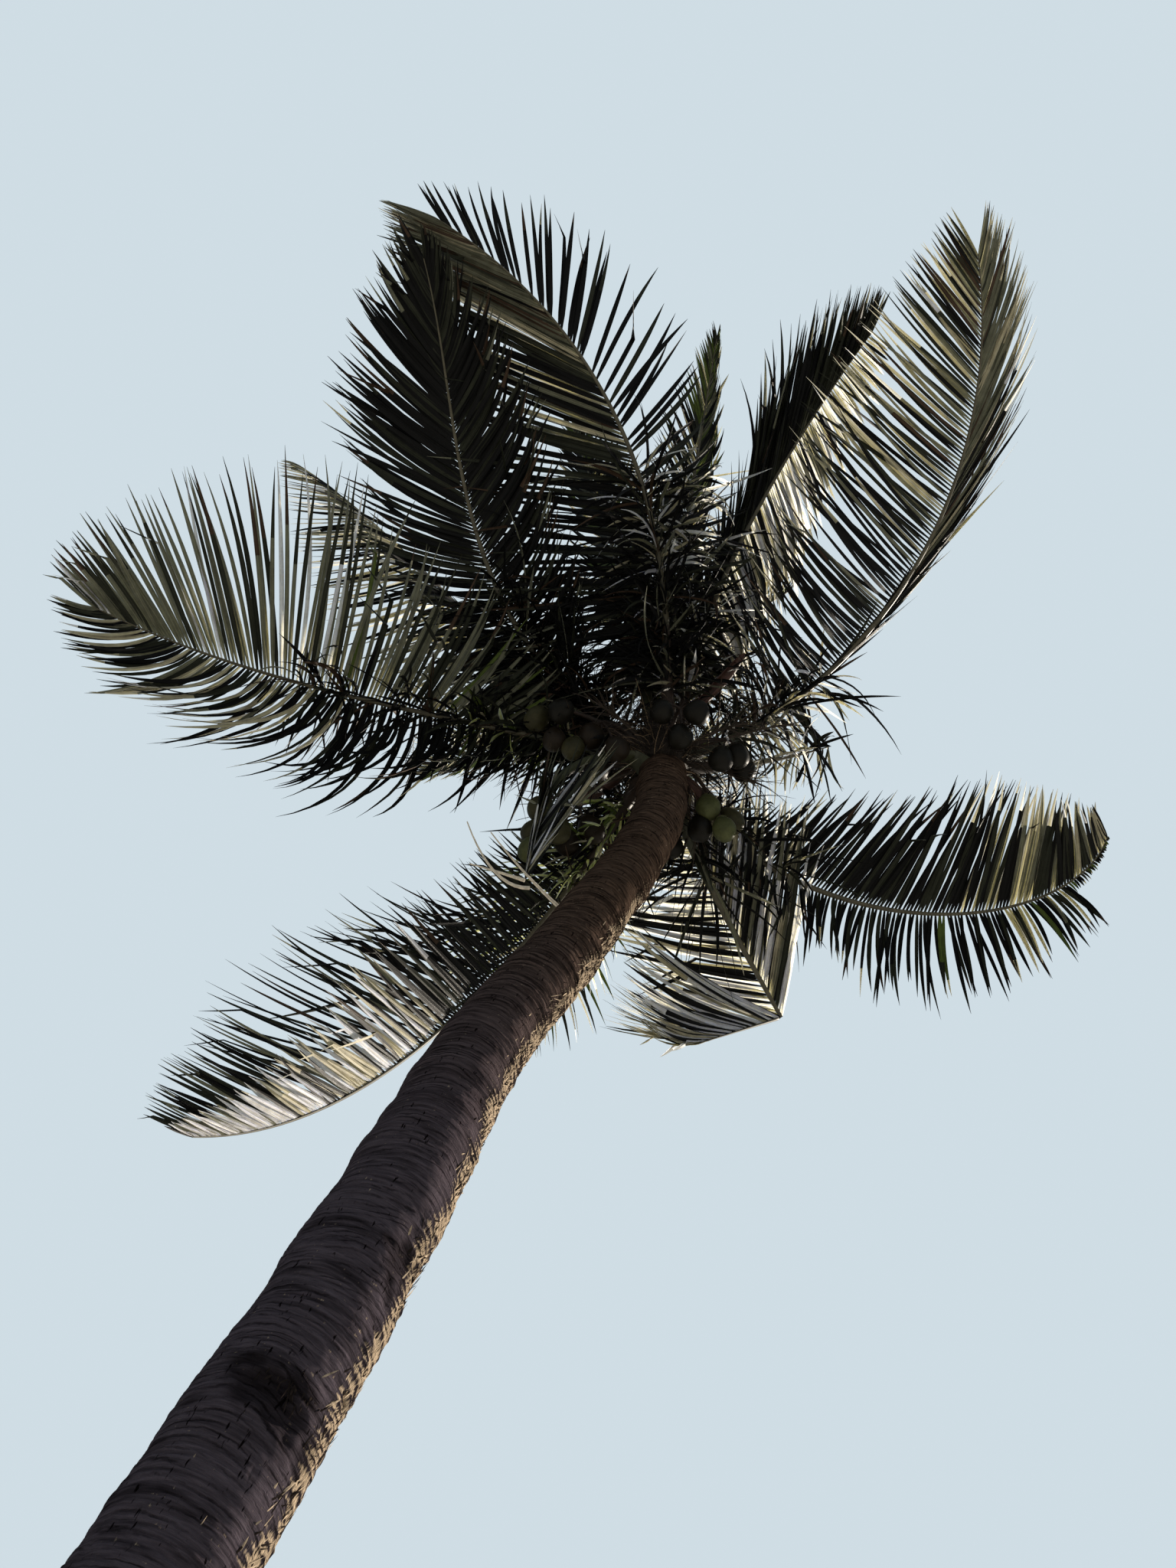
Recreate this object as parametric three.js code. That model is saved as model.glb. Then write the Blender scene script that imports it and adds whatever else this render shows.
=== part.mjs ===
// A coconut palm that leans and is swept by the wind: one ringed trunk with a root flare, the
// heart of sheathing leaf feet on top of it, and the fronds as thin blades of their outline.
// Millimetres, +Z up. The origin is the middle of the flat cut under the trunk, at ground level.
// The trunk leans towards +X and +Y; the wind blows the fronds towards -X and -Y.
import * as THREE from 'three';

// The middle of the trunk, from the cut at the ground to the heart of the crown.
const TRUNK_LINE = [
  [0, 0, 0], [105, 160, 400], [680, 1020, 2420], [1005, 1510, 3650],
  [1190, 1980, 4590], [1617, 2570, 5840], [2110, 3060, 7310], [2170, 3100, 7820],
].map((place) => new THREE.Vector3(...place));
// The trunk's diameters, the swell at half height, and the root flare that dies away upwards.
const TRUNK = { ground: 400, top: 336, swell: 14, flare: 160, flareHeight: 180, sides: 20, rings: 44 };
const TRUNK_HEIGHT = TRUNK_LINE[TRUNK_LINE.length - 1].z;

// The middle of the crown, and the heart round it that all stalks stand off.
const CROWN = new THREE.Vector3(2170, 3100, 7950);
const HEART = { bottom: -128, height: 618, radius: 185, sides: 16, rings: 8 };
// The youngest leaf, still closed.
const SPEAR = { bottom: 505, height: 1900, radius: 32, leanX: -90, leanY: -110, sides: 8, rings: 8 };

// The way the wind and weight pull on the leaflets.
const WIND = new THREE.Vector3(-0.62, -0.75, 0.1);
const DOWN = new THREE.Vector3(0, 0, -1);

// A frond's bare stalk from its foot, and the rib that it runs on as.
const STALK = { length: 900, footWidth: 118, footDepth: 58, endWidth: 56, endDepth: 42 };
const FOOT_CLEARANCE = 55;
const RIB_TIP_DEPTH = 12;
const STUMP = 0.25;
const BLADE_THICKNESS = 9;
const BLADE_START = 90;
const HALVES_GAP = 16;
const FOLD_GAP = 90;
const RIB_STEPS = 60;
const LEAFLET_STEPS = 8;
const RINGS_IN_HALF = 6;

// One side of a blade. length: of its longest leaflets. angle: theirs to the rib at the foot, the
// middle and the tip. lift: how far they stand up off the blade, at the foot and the tip.
// wind, sag: how strongly both pull. reach: the part of their length that the blade takes in at
// the foot, where it crosses a neighbour's, growing to the whole of it at the tip.
// last: how far along the leaflets go on; only stumps of them are left after that.
const side = (length, angle, lift, wind, sag, reach = 1, last = 1) => (
  { length, angle, lift, wind, sag, reach, last }
);

// turn: the rib's heading, anticlockwise from +X; rise: its climb; both in degrees at the foot,
// the middle and the tip. foot: how high the stalk starts, from the crown's middle.
// fold: where the rib is broken, and its heading, climb and sides after that.
const FRONDS = {
  frond_left: {
    foot: 30, length: 3950, turn: [177, 199, 237], rise: [28, -3, -27],
    left: side(1500, [100, 90, 15], [25, 35], 0.1, 0, 0.7),
    right: side(1000, [90, 60, 15], [-35, -65], 0.5, 0.3),
  },
  frond_left_back: {
    foot: 200, length: 4200, turn: [176, 197, 199], rise: [44, 50, 33],
    left: side(900, [100, 85, 20], [-60, -60], 0, 0.6, 0.1),
    right: side(900, [90, 60, 15], [-40, -40], 0.8, 1),
  },
  frond_upper_left: {
    foot: 320, length: 4100, turn: [169, 249, 260], rise: [44, 32, -2],
    left: side(1000, [80, 50, 15], [10, 10], 0.3, 0.3, 0.6),
    right: side(1400, [75, 52, 15], [5, 5], 0.1, 0, 0.15),
  },
  frond_top: {
    foot: 250, length: 4300, turn: [282, 244, 214], rise: [77, 35, -9],
    left: side(950, [85, 60, 25], [45, 45], 0, 0, 0.4),
    right: side(1300, [95, 48, 12], [0, 0], 0.1, 0.1),
  },
  frond_top_small: {
    foot: 420, length: 3700, turn: [296, 290, 284], rise: [81, 64, 46],
    left: side(750, [45, 30, 15], [10, 10], 0.3, 0),
    right: side(750, [50, 34, 15], [0, 0], 0.3, 0.2),
  },
  frond_top_right: {
    foot: 320, length: 4100, turn: [326, 317, 310], rise: [80, 54, 24],
    left: side(850, [50, 60, 25], [-30, -30], 0, 2.2),
    right: side(1200, [60, 35, 15], [0, 0], 0.3, 0, 0.4),
  },
  frond_right_tall: {
    foot: 100, length: 4450, turn: [368, 302, 253], rise: [37, 22, 10],
    left: side(1350, [32, 24, 20], [15, 25], 0.2, 0),
    right: side(1150, [95, 55, 15], [-20, -20], 0.3, 0.3),
  },
  frond_right_low: {
    foot: 12, length: 3850, turn: [59, -13, -100], rise: [-6, -24, -13],
    left: side(750, [85, 60, 15], [-80, -80], 0, 1, 1, 0.78),
    right: side(1050, [75, 60, 25], [40, 40], 0, 0),
  },
  frond_folded: {
    foot: -60, length: 2800, turn: [72, 51, 50], rise: [-20, -41, -50],
    left: side(1000, [85, 80, 60], [10, 10], 0.4, 0),
    right: side(1000, [80, 130, 140], [30, 30], 0, 0, 0.4),
    fold: {
      at: 0.65, turn: 215, rise: -36,
      left: side(1250, [90, 85, 30], [56, 30], 0.1, 0),
      right: side(1100, [60, 50, 25], [-10, -10], 0.2, 0),
    },
  },
  frond_left_low: {
    foot: -60, length: 4250, turn: [135, 196, 238], rise: [-47, -58, -28],
    left: side(950, [85, 55, 15], [35, 35], 0.2, 0),
    right: side(1050, [85, 60, 15], [50, 85], 0.2, 0),
  },
  frond_back_low: {
    foot: -20, length: 2300, turn: [124, 120, 116], rise: [12, -12, -32],
    left: side(1000, [80, 55, 15], [-20, -20], 0.3, 0.5),
    right: side(1000, [80, 55, 15], [-20, -20], 0.3, 0.5),
  },
  frond_back: {
    foot: 100, length: 4200, turn: [72, 78, 90], rise: [60, 42, 8],
    left: side(1000, [80, 50, 15], [25, 25], 0.3, 0.2, 0.6),
    right: side(1000, [80, 50, 15], [25, 25], 0.3, 0.2),
  },
  frond_back_left: {
    foot: 120, length: 3600, turn: [125, 135, 150], rise: [58, 42, 5],
    left: side(950, [80, 50, 15], [25, 25], 0.3, 0.2),
    right: side(950, [80, 50, 15], [25, 25], 0.3, 0.2, 0.6),
  },
  frond_inner_right: {
    foot: 360, length: 3500, turn: [40, 30, 10], rise: [78, 66, 50],
    left: side(900, [60, 40, 15], [30, 30], 0.3, 0.1),
    right: side(900, [60, 40, 15], [30, 30], 0.3, 0.1),
  },
  frond_inner_left: {
    foot: 450, length: 3400, turn: [230, 232, 236], rise: [84, 74, 60],
    left: side(850, [50, 35, 15], [30, 30], 0.2, 0),
    right: side(850, [50, 35, 15], [30, 30], 0.2, 0),
  },
  frond_broken: {
    foot: 20, length: 1200, grown: 3600, stalk: 500, turn: [20, 10, 0], rise: [24, 24, 24],
    left: side(400, [80, 80, 80], [10, 10], 0.2, 0.3),
    right: side(800, [110, 110, 110], [60, 60], 0.6, 0.2, 0.4),
  },
  frond_shrivelled: {
    foot: -80, length: 1900, stalk: 1500, turn: [205, 215, 222], rise: [-20, -70, -85],
    left: side(350, [40, 30, 15], [20, 20], 0, 0),
    right: side(350, [40, 30, 15], [20, 20], 0, 0),
  },
};

const radians = THREE.MathUtils.degToRad;
const mix = THREE.MathUtils.lerp;

// A value that runs smoothly through its three stated ones, at the foot, the middle and the tip.
function through([foot, middle, tip], s) {
  return foot * (1 - s) * (1 - 2 * s) + 4 * middle * s * (1 - s) - tip * s * (1 - 2 * s);
}

function heartRadius(height) {
  const part = (height - HEART.bottom) / HEART.height;
  return HEART.radius * Math.sqrt(Math.max(0, 1 - part * part));
}

// The rib's own directions at the part s of its length: along it, to its left, and up off it.
function ribFrame(frond, s) {
  const past = s > (frond.fold?.at ?? 1);
  const heading = radians(past ? frond.fold.turn : through(frond.turn, s));
  const climb = radians(past ? frond.fold.rise : through(frond.rise, s));
  const level = Math.cos(climb);
  const along = new THREE.Vector3(level * Math.cos(heading), level * Math.sin(heading), Math.sin(climb));
  const left = new THREE.Vector3(-Math.sin(heading), Math.cos(heading), 0);
  return { along, left, up: along.clone().cross(left) };
}

// The rib's places, in equal steps along its length.
function ribLine(frond) {
  const out = heartRadius(frond.foot) + FOOT_CLEARANCE;
  const heading = radians(frond.turn[0]);
  const foot = new THREE.Vector3(out * Math.cos(heading), out * Math.sin(heading), frond.foot);
  const line = [foot.add(CROWN)];
  for (let i = 1; i <= RIB_STEPS; i += 1) {
    const { along } = ribFrame(frond, (i - 0.5) / RIB_STEPS);
    line.push(line[i - 1].clone().addScaledVector(along, frond.length / RIB_STEPS));
  }
  return line;
}

function ribPlace(line, s) {
  const at = s * RIB_STEPS;
  const before = Math.min(Math.floor(at), RIB_STEPS - 1);
  return line[before].clone().lerp(line[before + 1], at - before);
}

// How long a leaflet is, as a part of the longest, where t runs from the first one to the last.
function leafletSize(t) {
  const towardsFoot = 0.5 + 0.5 * Math.min(1, t / 0.3) ** 0.7;
  return towardsFoot * (1 - 0.75 * Math.max(0, (t - 0.45) / 0.55) ** 1.5);
}

// The leaflet that leaves the rib at t, bent by wind and weight: its middle, its end, and the
// direction its upper face looks.
function leafletLine(frame, root, half, sign, t) {
  const angle = radians(through(half.angle, t));
  const lift = radians(mix(half.lift[0], half.lift[1], t));
  const start = frame.along.clone().multiplyScalar(Math.cos(angle))
    .addScaledVector(frame.left, Math.sin(angle) * Math.cos(lift) * sign)
    .addScaledVector(frame.up, Math.sin(angle) * Math.sin(lift));
  const left = t > half.last ? STUMP : 1;
  const length = half.length * leafletSize(t) * mix(half.reach, 1, t) * left;
  const line = [root.clone()];
  for (let i = 0; i < LEAFLET_STEPS; i += 1) {
    const bend = 1.6 * ((i + 0.5) / LEAFLET_STEPS) ** 1.5;
    const way = start.clone().addScaledVector(DOWN, bend * half.sag).addScaledVector(WIND, bend * half.wind);
    line.push(line[i].clone().addScaledVector(way.normalize(), length / LEAFLET_STEPS));
  }
  const face = frame.along.clone().cross(start).multiplyScalar(sign).normalize();
  return { middle: line[LEAFLET_STEPS / 2], end: line[LEAFLET_STEPS], face };
}

// Eight points round the blade: along its upper side from the left edge to the right one, and
// back along its under side.
function bladeRing(frond, line, s, t) {
  const frame = ribFrame(frond, s);
  const root = ribPlace(line, s);
  const depth = mix(STALK.endDepth, RIB_TIP_DEPTH, t) / 2;
  const sides = s > (frond.fold?.at ?? 1) ? frond.fold : frond;
  const left = leafletLine(frame, root, sides.left, 1, t);
  const right = leafletLine(frame, root, sides.right, -1, t);
  const back = left.face.clone().add(right.face).setLength(depth);
  const above = (leaflet, by) => leaflet.middle.clone().addScaledVector(leaflet.face, by);
  return [
    left.end, above(left, BLADE_THICKNESS / 2), root.clone().add(back),
    above(right, BLADE_THICKNESS / 2), right.end, above(right, -BLADE_THICKNESS / 2),
    root.clone().sub(back), above(left, -BLADE_THICKNESS / 2),
  ];
}

// Eight points round the bare stalk, in the same order as a blade's, part of the way along it.
function stalkRing(frond, line, s, part) {
  const frame = ribFrame(frond, s);
  const middle = ribPlace(line, s);
  const width = mix(STALK.footWidth, STALK.endWidth, part) / 2;
  const depth = mix(STALK.footDepth, STALK.endDepth, part) / 2;
  return Array.from({ length: 8 }, (_, i) => middle.clone()
    .addScaledVector(frame.left, width * Math.cos(i * Math.PI / 4))
    .addScaledVector(frame.up, depth * Math.sin(i * Math.PI / 4)));
}

// A closed solid through rings of points that turn right-handed round the way it runs. Both of
// its sides are cut into triangles alike, so that a thin bent solid keeps its thickness, and its
// ends are closed in strips across, from one side of the ring to the other.
function loft(rings) {
  const count = rings[0].length;
  const last = (rings.length - 1) * count;
  const faces = [];
  for (let start = 0; start < last; start += count) {
    for (let i = 0; i < count; i += 1) {
      const a = start + i;
      const b = start + (i + 1) % count;
      if (i < count / 2) {
        faces.push(a, b, b + count, a, b + count, a + count);
      } else {
        faces.push(a, b, a + count, b, b + count, a + count);
      }
    }
  }
  for (let i = 0; i < count / 2; i += 1) {
    const [a, b, c, d] = [i, i + 1, count - i - 1, (count - i) % count];
    if (b !== c) {
      faces.push(a, c, b, last + a, last + b, last + c);
    }
    if (a !== d) {
      faces.push(a, d, c, last + a, last + c, last + d);
    }
  }
  const geometry = new THREE.BufferGeometry().setFromPoints(rings.flat());
  geometry.setIndex(faces);
  geometry.computeVertexNormals();
  return geometry;
}

// A ring of points round a place, square to the way the solid runs there.
function roundRing(middle, way, radius, sides) {
  const first = new THREE.Vector3(0, 1, 0).cross(way).normalize();
  const second = way.clone().cross(first);
  return Array.from({ length: sides }, (_, i) => middle.clone()
    .addScaledVector(first, radius * Math.cos(i * 2 * Math.PI / sides))
    .addScaledVector(second, radius * Math.sin(i * 2 * Math.PI / sides)));
}

// The trunk's rings lie level at the cut and under the heart, and square to the trunk between.
function trunk() {
  const curve = new THREE.CatmullRomCurve3(TRUNK_LINE);
  const rings = [];
  for (let i = 0; i <= TRUNK.rings; i += 1) {
    const middle = curve.getPointAt(i / TRUNK.rings);
    const height = middle.z / TRUNK_HEIGHT;
    const across = mix(TRUNK.ground, TRUNK.top, height) + TRUNK.swell * Math.sin(Math.PI * height)
      + TRUNK.flare * Math.exp(-middle.z / TRUNK.flareHeight);
    const square = THREE.MathUtils.smoothstep(middle.z, 0, 600)
      * (1 - THREE.MathUtils.smoothstep(middle.z, TRUNK_HEIGHT - 600, TRUNK_HEIGHT));
    const way = DOWN.clone().negate().lerp(curve.getTangentAt(i / TRUNK.rings), square).normalize();
    rings.push(roundRing(middle, way, across / 2, TRUNK.sides));
  }
  return loft(rings);
}

function crownHeart() {
  const rings = [];
  for (let i = 0; i < HEART.rings; i += 1) {
    const height = HEART.bottom + HEART.height * Math.sin((i / HEART.rings) * Math.PI / 2);
    const middle = CROWN.clone().add(new THREE.Vector3(0, 0, height));
    rings.push(roundRing(middle, DOWN.clone().negate(), heartRadius(height), HEART.sides));
  }
  return loft(rings);
}

function spear() {
  const rings = [];
  for (let i = 0; i <= SPEAR.rings; i += 1) {
    const part = i / SPEAR.rings;
    const lean = part * part;
    const middle = new THREE.Vector3(SPEAR.leanX * lean, SPEAR.leanY * lean, SPEAR.bottom + SPEAR.height * part);
    rings.push(roundRing(middle.add(CROWN), DOWN.clone().negate(), SPEAR.radius * (1 - 0.9 * part), SPEAR.sides));
  }
  return loft(rings);
}

// A frond's blade between two parts of its length.
function bladeRings(frond, line, from, to) {
  const grown = (frond.grown ?? frond.length) / frond.length;
  const first = (frond.stalk ?? STALK.length) / frond.length;
  return Array.from({ length: RINGS_IN_HALF + 1 }, (_, i) => {
    const s = mix(from, to, i / RINGS_IN_HALF);
    return bladeRing(frond, line, s, Math.max(0, (s - first) / (grown - first)));
  });
}

function stalkRings(frond, line, end) {
  return [0, 0.35, 0.7, 1].map((part) => stalkRing(frond, line, part * end, part));
}

const group = new THREE.Group();

function addMesh(name, geometry, colour) {
  const mesh = new THREE.Mesh(geometry, new THREE.MeshStandardMaterial({ color: colour, roughness: 0.8 }));
  mesh.name = name;
  group.add(mesh);
}

addMesh('trunk', trunk(), 0x6b5646);
addMesh('crown_heart', crownHeart(), 0x5c4630);
addMesh('spear', spear(), 0x9aa860);
for (const [name, frond] of Object.entries(FRONDS)) {
  const line = ribLine(frond);
  const stalkEnd = (frond.stalk ?? STALK.length) / frond.length;
  const bladeStart = stalkEnd + BLADE_START / frond.length;
  const stalk = stalkRings(frond, line, stalkEnd);
  if (frond.length < STALK.length * 2.3) {
    addMesh(name, loft([...stalk, ...bladeRings(frond, line, bladeStart, 1)]), 0x76683c);
  } else {
    const split = frond.fold ? frond.fold.at : (1 + stalkEnd) / 2;
    const gap = (frond.fold ? FOLD_GAP : HALVES_GAP) / frond.length / 2;
    addMesh(`${name}_base`, loft([...stalk, ...bladeRings(frond, line, bladeStart, split - gap)]), 0x4d5c36);
    addMesh(`${name}_tip`, loft(bladeRings(frond, line, split + gap, 1)), 0x57683c);
  }
}

export default group;
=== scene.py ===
# %% [markdown]
# # A coconut palm in the wind
# The palm leans, and the wind has combed its whole crown to one side. It is seen from below, so
# the trunk runs away from the eye and the fronds fan out round its head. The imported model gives
# the trunk, the heart of the crown, and each frond as a thin blade. This lesson replaces every one
# of them with the real thing: ringed bark, stalks and ribs, single leaflets, nuts and dry remains.

# %% Load the frame
import math

import bpy
import numpy as np
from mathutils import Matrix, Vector


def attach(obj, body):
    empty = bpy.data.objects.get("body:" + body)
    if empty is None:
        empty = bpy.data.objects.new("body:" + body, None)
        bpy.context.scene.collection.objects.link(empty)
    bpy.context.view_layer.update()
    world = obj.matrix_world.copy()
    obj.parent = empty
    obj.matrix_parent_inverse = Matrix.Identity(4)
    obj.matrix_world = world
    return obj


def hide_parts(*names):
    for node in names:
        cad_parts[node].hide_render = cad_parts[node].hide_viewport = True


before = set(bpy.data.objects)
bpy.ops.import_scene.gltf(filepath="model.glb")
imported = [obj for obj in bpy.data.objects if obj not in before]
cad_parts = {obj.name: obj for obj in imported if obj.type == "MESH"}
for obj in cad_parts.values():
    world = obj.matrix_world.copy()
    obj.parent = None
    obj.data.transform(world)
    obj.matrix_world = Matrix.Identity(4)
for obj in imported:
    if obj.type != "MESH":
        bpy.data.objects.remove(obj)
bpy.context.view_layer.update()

# %% [markdown]
# ## The camera
# The photographer stood near the foot of the trunk and looked up at fifty degrees. A wide lens
# makes the near trunk broad and the crown small. Blender's camera looks down its own -Z, so a turn
# of ninety degrees about X makes it look level along +Y, and fifty more make it look up.

# %% The camera
EYE = (1.65, -2.10, 1.5)
LOOK_UP = 50
LENS = 27.07
FILM_WIDTH = 36

bpy.ops.object.camera_add(location=EYE, rotation=(math.radians(90 + LOOK_UP), 0, 0))
camera = bpy.context.object
camera.name = "camera"
camera.data.lens = LENS
camera.data.sensor_width = FILM_WIDTH
bpy.context.scene.camera = camera
print("camera at", EYE)

# %% [markdown]
# ## Light and floor
# The tree is seen against the light: a low key light stands behind it on the right, and rakes the
# right edge of the trunk and the fronds that lean over. A plain pale dome gives the rest. The dome
# could be lamps all round, but an even world colour is the softest and has no edges. It shines
# less on the tree than it looks to the camera, so that the tree stands dark against it.

# %% Light and floor
KEY_FROM = (0.68, 0.66, 0.32)
KEY_DISTANCE = 20
KEY_STRENGTH = 8.0
KEY_COLOUR = (1.0, 0.90, 0.76)
KEY_SPREAD = 3
DOME_COLOUR = (0.66, 0.76, 0.82, 1)
BACKDROP_STRENGTH = 0.95
DOME_STRENGTH = 0.38
FLOOR_SIZE = 60

bpy.ops.object.light_add(type="SUN", location=Vector(KEY_FROM) * KEY_DISTANCE)
key = bpy.context.object
key.name = "key_light"
key.rotation_mode = "QUATERNION"
key.rotation_quaternion = Vector(KEY_FROM).to_track_quat("Z", "Y")
key.data.energy = KEY_STRENGTH
key.data.color = KEY_COLOUR
key.data.angle = math.radians(KEY_SPREAD)

world = bpy.data.worlds.new("pale_dome")
bpy.context.scene.world = world
world.use_nodes = True
dome = world.node_tree.nodes["Background"]
dome.inputs["Color"].default_value = DOME_COLOUR
seen = world.node_tree.nodes.new("ShaderNodeLightPath")
strength = world.node_tree.nodes.new("ShaderNodeMapRange")
strength.inputs["To Min"].default_value = DOME_STRENGTH
strength.inputs["To Max"].default_value = BACKDROP_STRENGTH
world.node_tree.links.new(seen.outputs["Is Camera Ray"], strength.inputs["Value"])
world.node_tree.links.new(strength.outputs["Result"], dome.inputs["Strength"])

bpy.context.scene.view_settings.view_transform = "Standard"

bpy.ops.mesh.primitive_plane_add(size=FLOOR_SIZE, location=(0, 0, 0))
floor = bpy.context.object
floor.name = "floor"
print("key light from", KEY_FROM)

# %% [markdown]
# ## Finishes
# Each finish starts as a Principled shader. Its colour comes from noise on Object coordinates,
# its dents from a Bump node, and its roughness from the same noise. The leaf finishes differ in
# one plain base colour each, and the colours are dealt out leaflet by leaflet. Dry and green
# leaflets lie side by side in a real crown. The near-black colours are also painted shade, and the
# pale ones painted sunlight, dealt by where the crown is lit.

# %% Nodes that finishes are put together from
NOISE_ROUGHNESS = 0.65


def new_finish(name):
    finish = bpy.data.materials.new(name)
    finish.use_nodes = True
    return finish, shader_of(finish)


def shader_of(finish):
    return finish.node_tree.nodes["Principled BSDF"]


def new_node(finish, kind):
    return finish.node_tree.nodes.new("ShaderNode" + kind)


def join(finish, output, socket):
    finish.node_tree.links.new(output, socket)


def set_gloss(finish, level):
    shader_of(finish).inputs["Specular IOR Level"].default_value = level


def shade(colour, factor):
    return tuple(min(1.0, c * factor) for c in colour)


def add_ramp(finish, value, colour, dark, light):
    """A colour that runs from a darker to a lighter shade as the value rises."""
    ramp = new_node(finish, "ValToRGB")
    for element, place, factor in zip(ramp.color_ramp.elements, (0.3, 0.7), (dark, light)):
        element.position = place
        element.color = (*shade(colour, factor), 1)
    join(finish, value, ramp.inputs["Fac"])
    return ramp.outputs["Color"]


def add_noise(finish, place, scale, detail=6):
    """Noise whose pattern is squeezed by a scale along each axis."""
    squeeze = new_node(finish, "Mapping")
    squeeze.inputs["Scale"].default_value = scale
    noise = new_node(finish, "TexNoise")
    noise.inputs["Scale"].default_value = 1
    noise.inputs["Detail"].default_value = detail
    noise.inputs["Roughness"].default_value = NOISE_ROUGHNESS
    join(finish, place, squeeze.inputs["Vector"])
    join(finish, squeeze.outputs["Vector"], noise.inputs["Vector"])
    return noise.outputs["Fac"]


def add_math(finish, operation, *values):
    step = new_node(finish, "Math")
    step.operation = operation
    for socket, value in zip(step.inputs, values):
        if isinstance(value, (int, float)):
            socket.default_value = value
        else:
            join(finish, value, socket)
    return step.outputs["Value"]


def add_range(finish, value, low, high, to_low=0.0, to_high=1.0):
    step = new_node(finish, "MapRange")
    limits = {"From Min": low, "From Max": high, "To Min": to_low, "To Max": to_high}
    for name, number in limits.items():
        step.inputs[name].default_value = number
    join(finish, value, step.inputs["Value"])
    return step.outputs["Result"]


def add_mix(finish, factor, below, colour):
    """Lays a colour over the one below it, as far as the factor says."""
    mix = new_node(finish, "Mix")
    mix.data_type = "RGBA"
    if isinstance(colour, tuple):
        mix.inputs["B"].default_value = (*colour, 1)
    else:
        join(finish, colour, mix.inputs["B"])
    join(finish, factor, mix.inputs["Factor"])
    join(finish, below, mix.inputs["A"])
    return mix.outputs["Result"]


def add_attribute(finish, name, output="Fac"):
    step = new_node(finish, "Attribute")
    step.attribute_name = name
    return step.outputs[output]


def add_bump(finish, height, strength, depth):
    dents = new_node(finish, "Bump")
    dents.inputs["Strength"].default_value = strength
    dents.inputs["Distance"].default_value = depth
    join(finish, height, dents.inputs["Height"])
    join(finish, dents.outputs["Normal"], shader_of(finish).inputs["Normal"])


# %% A finish with noise in colour, bump and roughness
def noisy_finish(name, colour, spread, grain, bump, depth, rough):
    """spread: how far the colour goes darker and lighter. grain: how fine the noise is, along each
    axis if it isn't one number. rough: the least and the most roughness."""
    finish, shader = new_finish(name)
    place = new_node(finish, "TexCoord")
    scale = grain if isinstance(grain, tuple) else (grain, grain, grain)
    noise = add_noise(finish, place.outputs["Object"], scale)
    colours = add_ramp(finish, noise, colour, 1 - spread, 1 + spread)
    join(finish, colours, shader.inputs["Base Color"])
    join(finish, add_range(finish, noise, 0, 1, *rough), shader.inputs["Roughness"])
    add_bump(finish, noise, bump, depth)
    return finish


FLOOR_COLOUR = (0.52, 0.52, 0.50)
floor_matt = noisy_finish("floor_matt", FLOOR_COLOUR, 0.03, 3, 0.05, 0.001, (0.7, 0.9))
floor.data.materials.append(floor_matt)

# %% The leaf finishes
# deep is near black: painted shade, for leaflets that lie in the shade of the crown. lime is a bright
# yellow-green that stands for leaflets in sunlight: painted sunlight. straw and cream are the pale colours
# of dry leaflets, made pale enough to stand for sunlit ones as well: real colour and painted sunlight.
LEAF_COLOURS = {
    "deep": (0.005, 0.005, 0.005),
    "olive": (0.022, 0.024, 0.016),
    "green": (0.085, 0.115, 0.028),
    "lime": (0.420, 0.490, 0.130),
    "khaki": (0.110, 0.110, 0.075),
    "straw": (0.350, 0.310, 0.200),
    "cream": (0.860, 0.800, 0.710),
    "brown": (0.050, 0.031, 0.020),
}
LEAF_GLOSS = 0.12
LET_THROUGH = {"lime": 0.8, "khaki": 0.15, "straw": 0.3, "cream": 0.7}
LET_THROUGH_DEPTH = (0.02, 0.018, 0.01)
MIDRIB_PALER = 2.2
VEINS = 14
VEIN_BUMP, VEIN_DEPTH = 0.25, 0.001


def leaf_finish(name, colour):
    """One plain base colour, with a paler midrib and fine veins by the leaflet's own map. The
    paler kinds let some light through."""
    finish = noisy_finish("leaf_" + name, colour, 0.35, 9, VEIN_BUMP, VEIN_DEPTH, (0.38, 0.62))
    shader = shader_of(finish)
    set_gloss(finish, LEAF_GLOSS)
    shader.inputs["Subsurface Weight"].default_value = LET_THROUGH.get(name, 0)
    shader.inputs["Subsurface Radius"].default_value = LET_THROUGH_DEPTH
    shader.inputs["Subsurface Scale"].default_value = 1.0
    across = new_node(finish, "UVMap")
    across.uv_map = "leaf"
    split = new_node(finish, "SeparateXYZ")
    join(finish, across.outputs["UV"], split.inputs["Vector"])
    off_middle = add_math(finish, "ABSOLUTE", add_math(finish, "SUBTRACT", split.outputs["X"], 0.5))
    midrib = add_range(finish, off_middle, 0.03, 0.08, 0.6, 0.0)
    below = shader.inputs["Base Color"].links[0].from_socket
    join(finish, add_mix(finish, midrib, below, shade(colour, MIDRIB_PALER)), shader.inputs["Base Color"])
    veins = add_math(finish, "MULTIPLY", split.outputs["X"], VEINS * 2 * math.pi)
    bump = shader.inputs["Normal"].links[0].from_node
    join(finish, add_math(finish, "SINE", veins), bump.inputs["Height"])
    return finish


leaf_finishes = {name: leaf_finish(name, colour) for name, colour in LEAF_COLOURS.items()}
LEAF_ORDER = list(LEAF_COLOURS)
print(len(leaf_finishes), "leaf finishes")

# %% [markdown]
# ## The trunk
# A coconut palm's trunk doesn't grow thicker after it is made. Every fallen leaf leaves a ring, so
# the bark is hundreds of narrow uneven rings on top of slow swellings, with cracks along it. A
# smooth cylinder with a bump map would keep a straight outline, so the rings are real relief here:
# a cylinder is cut into about a thousand rows, and each of its points is then moved to its place
# on the leaning trunk.

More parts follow.
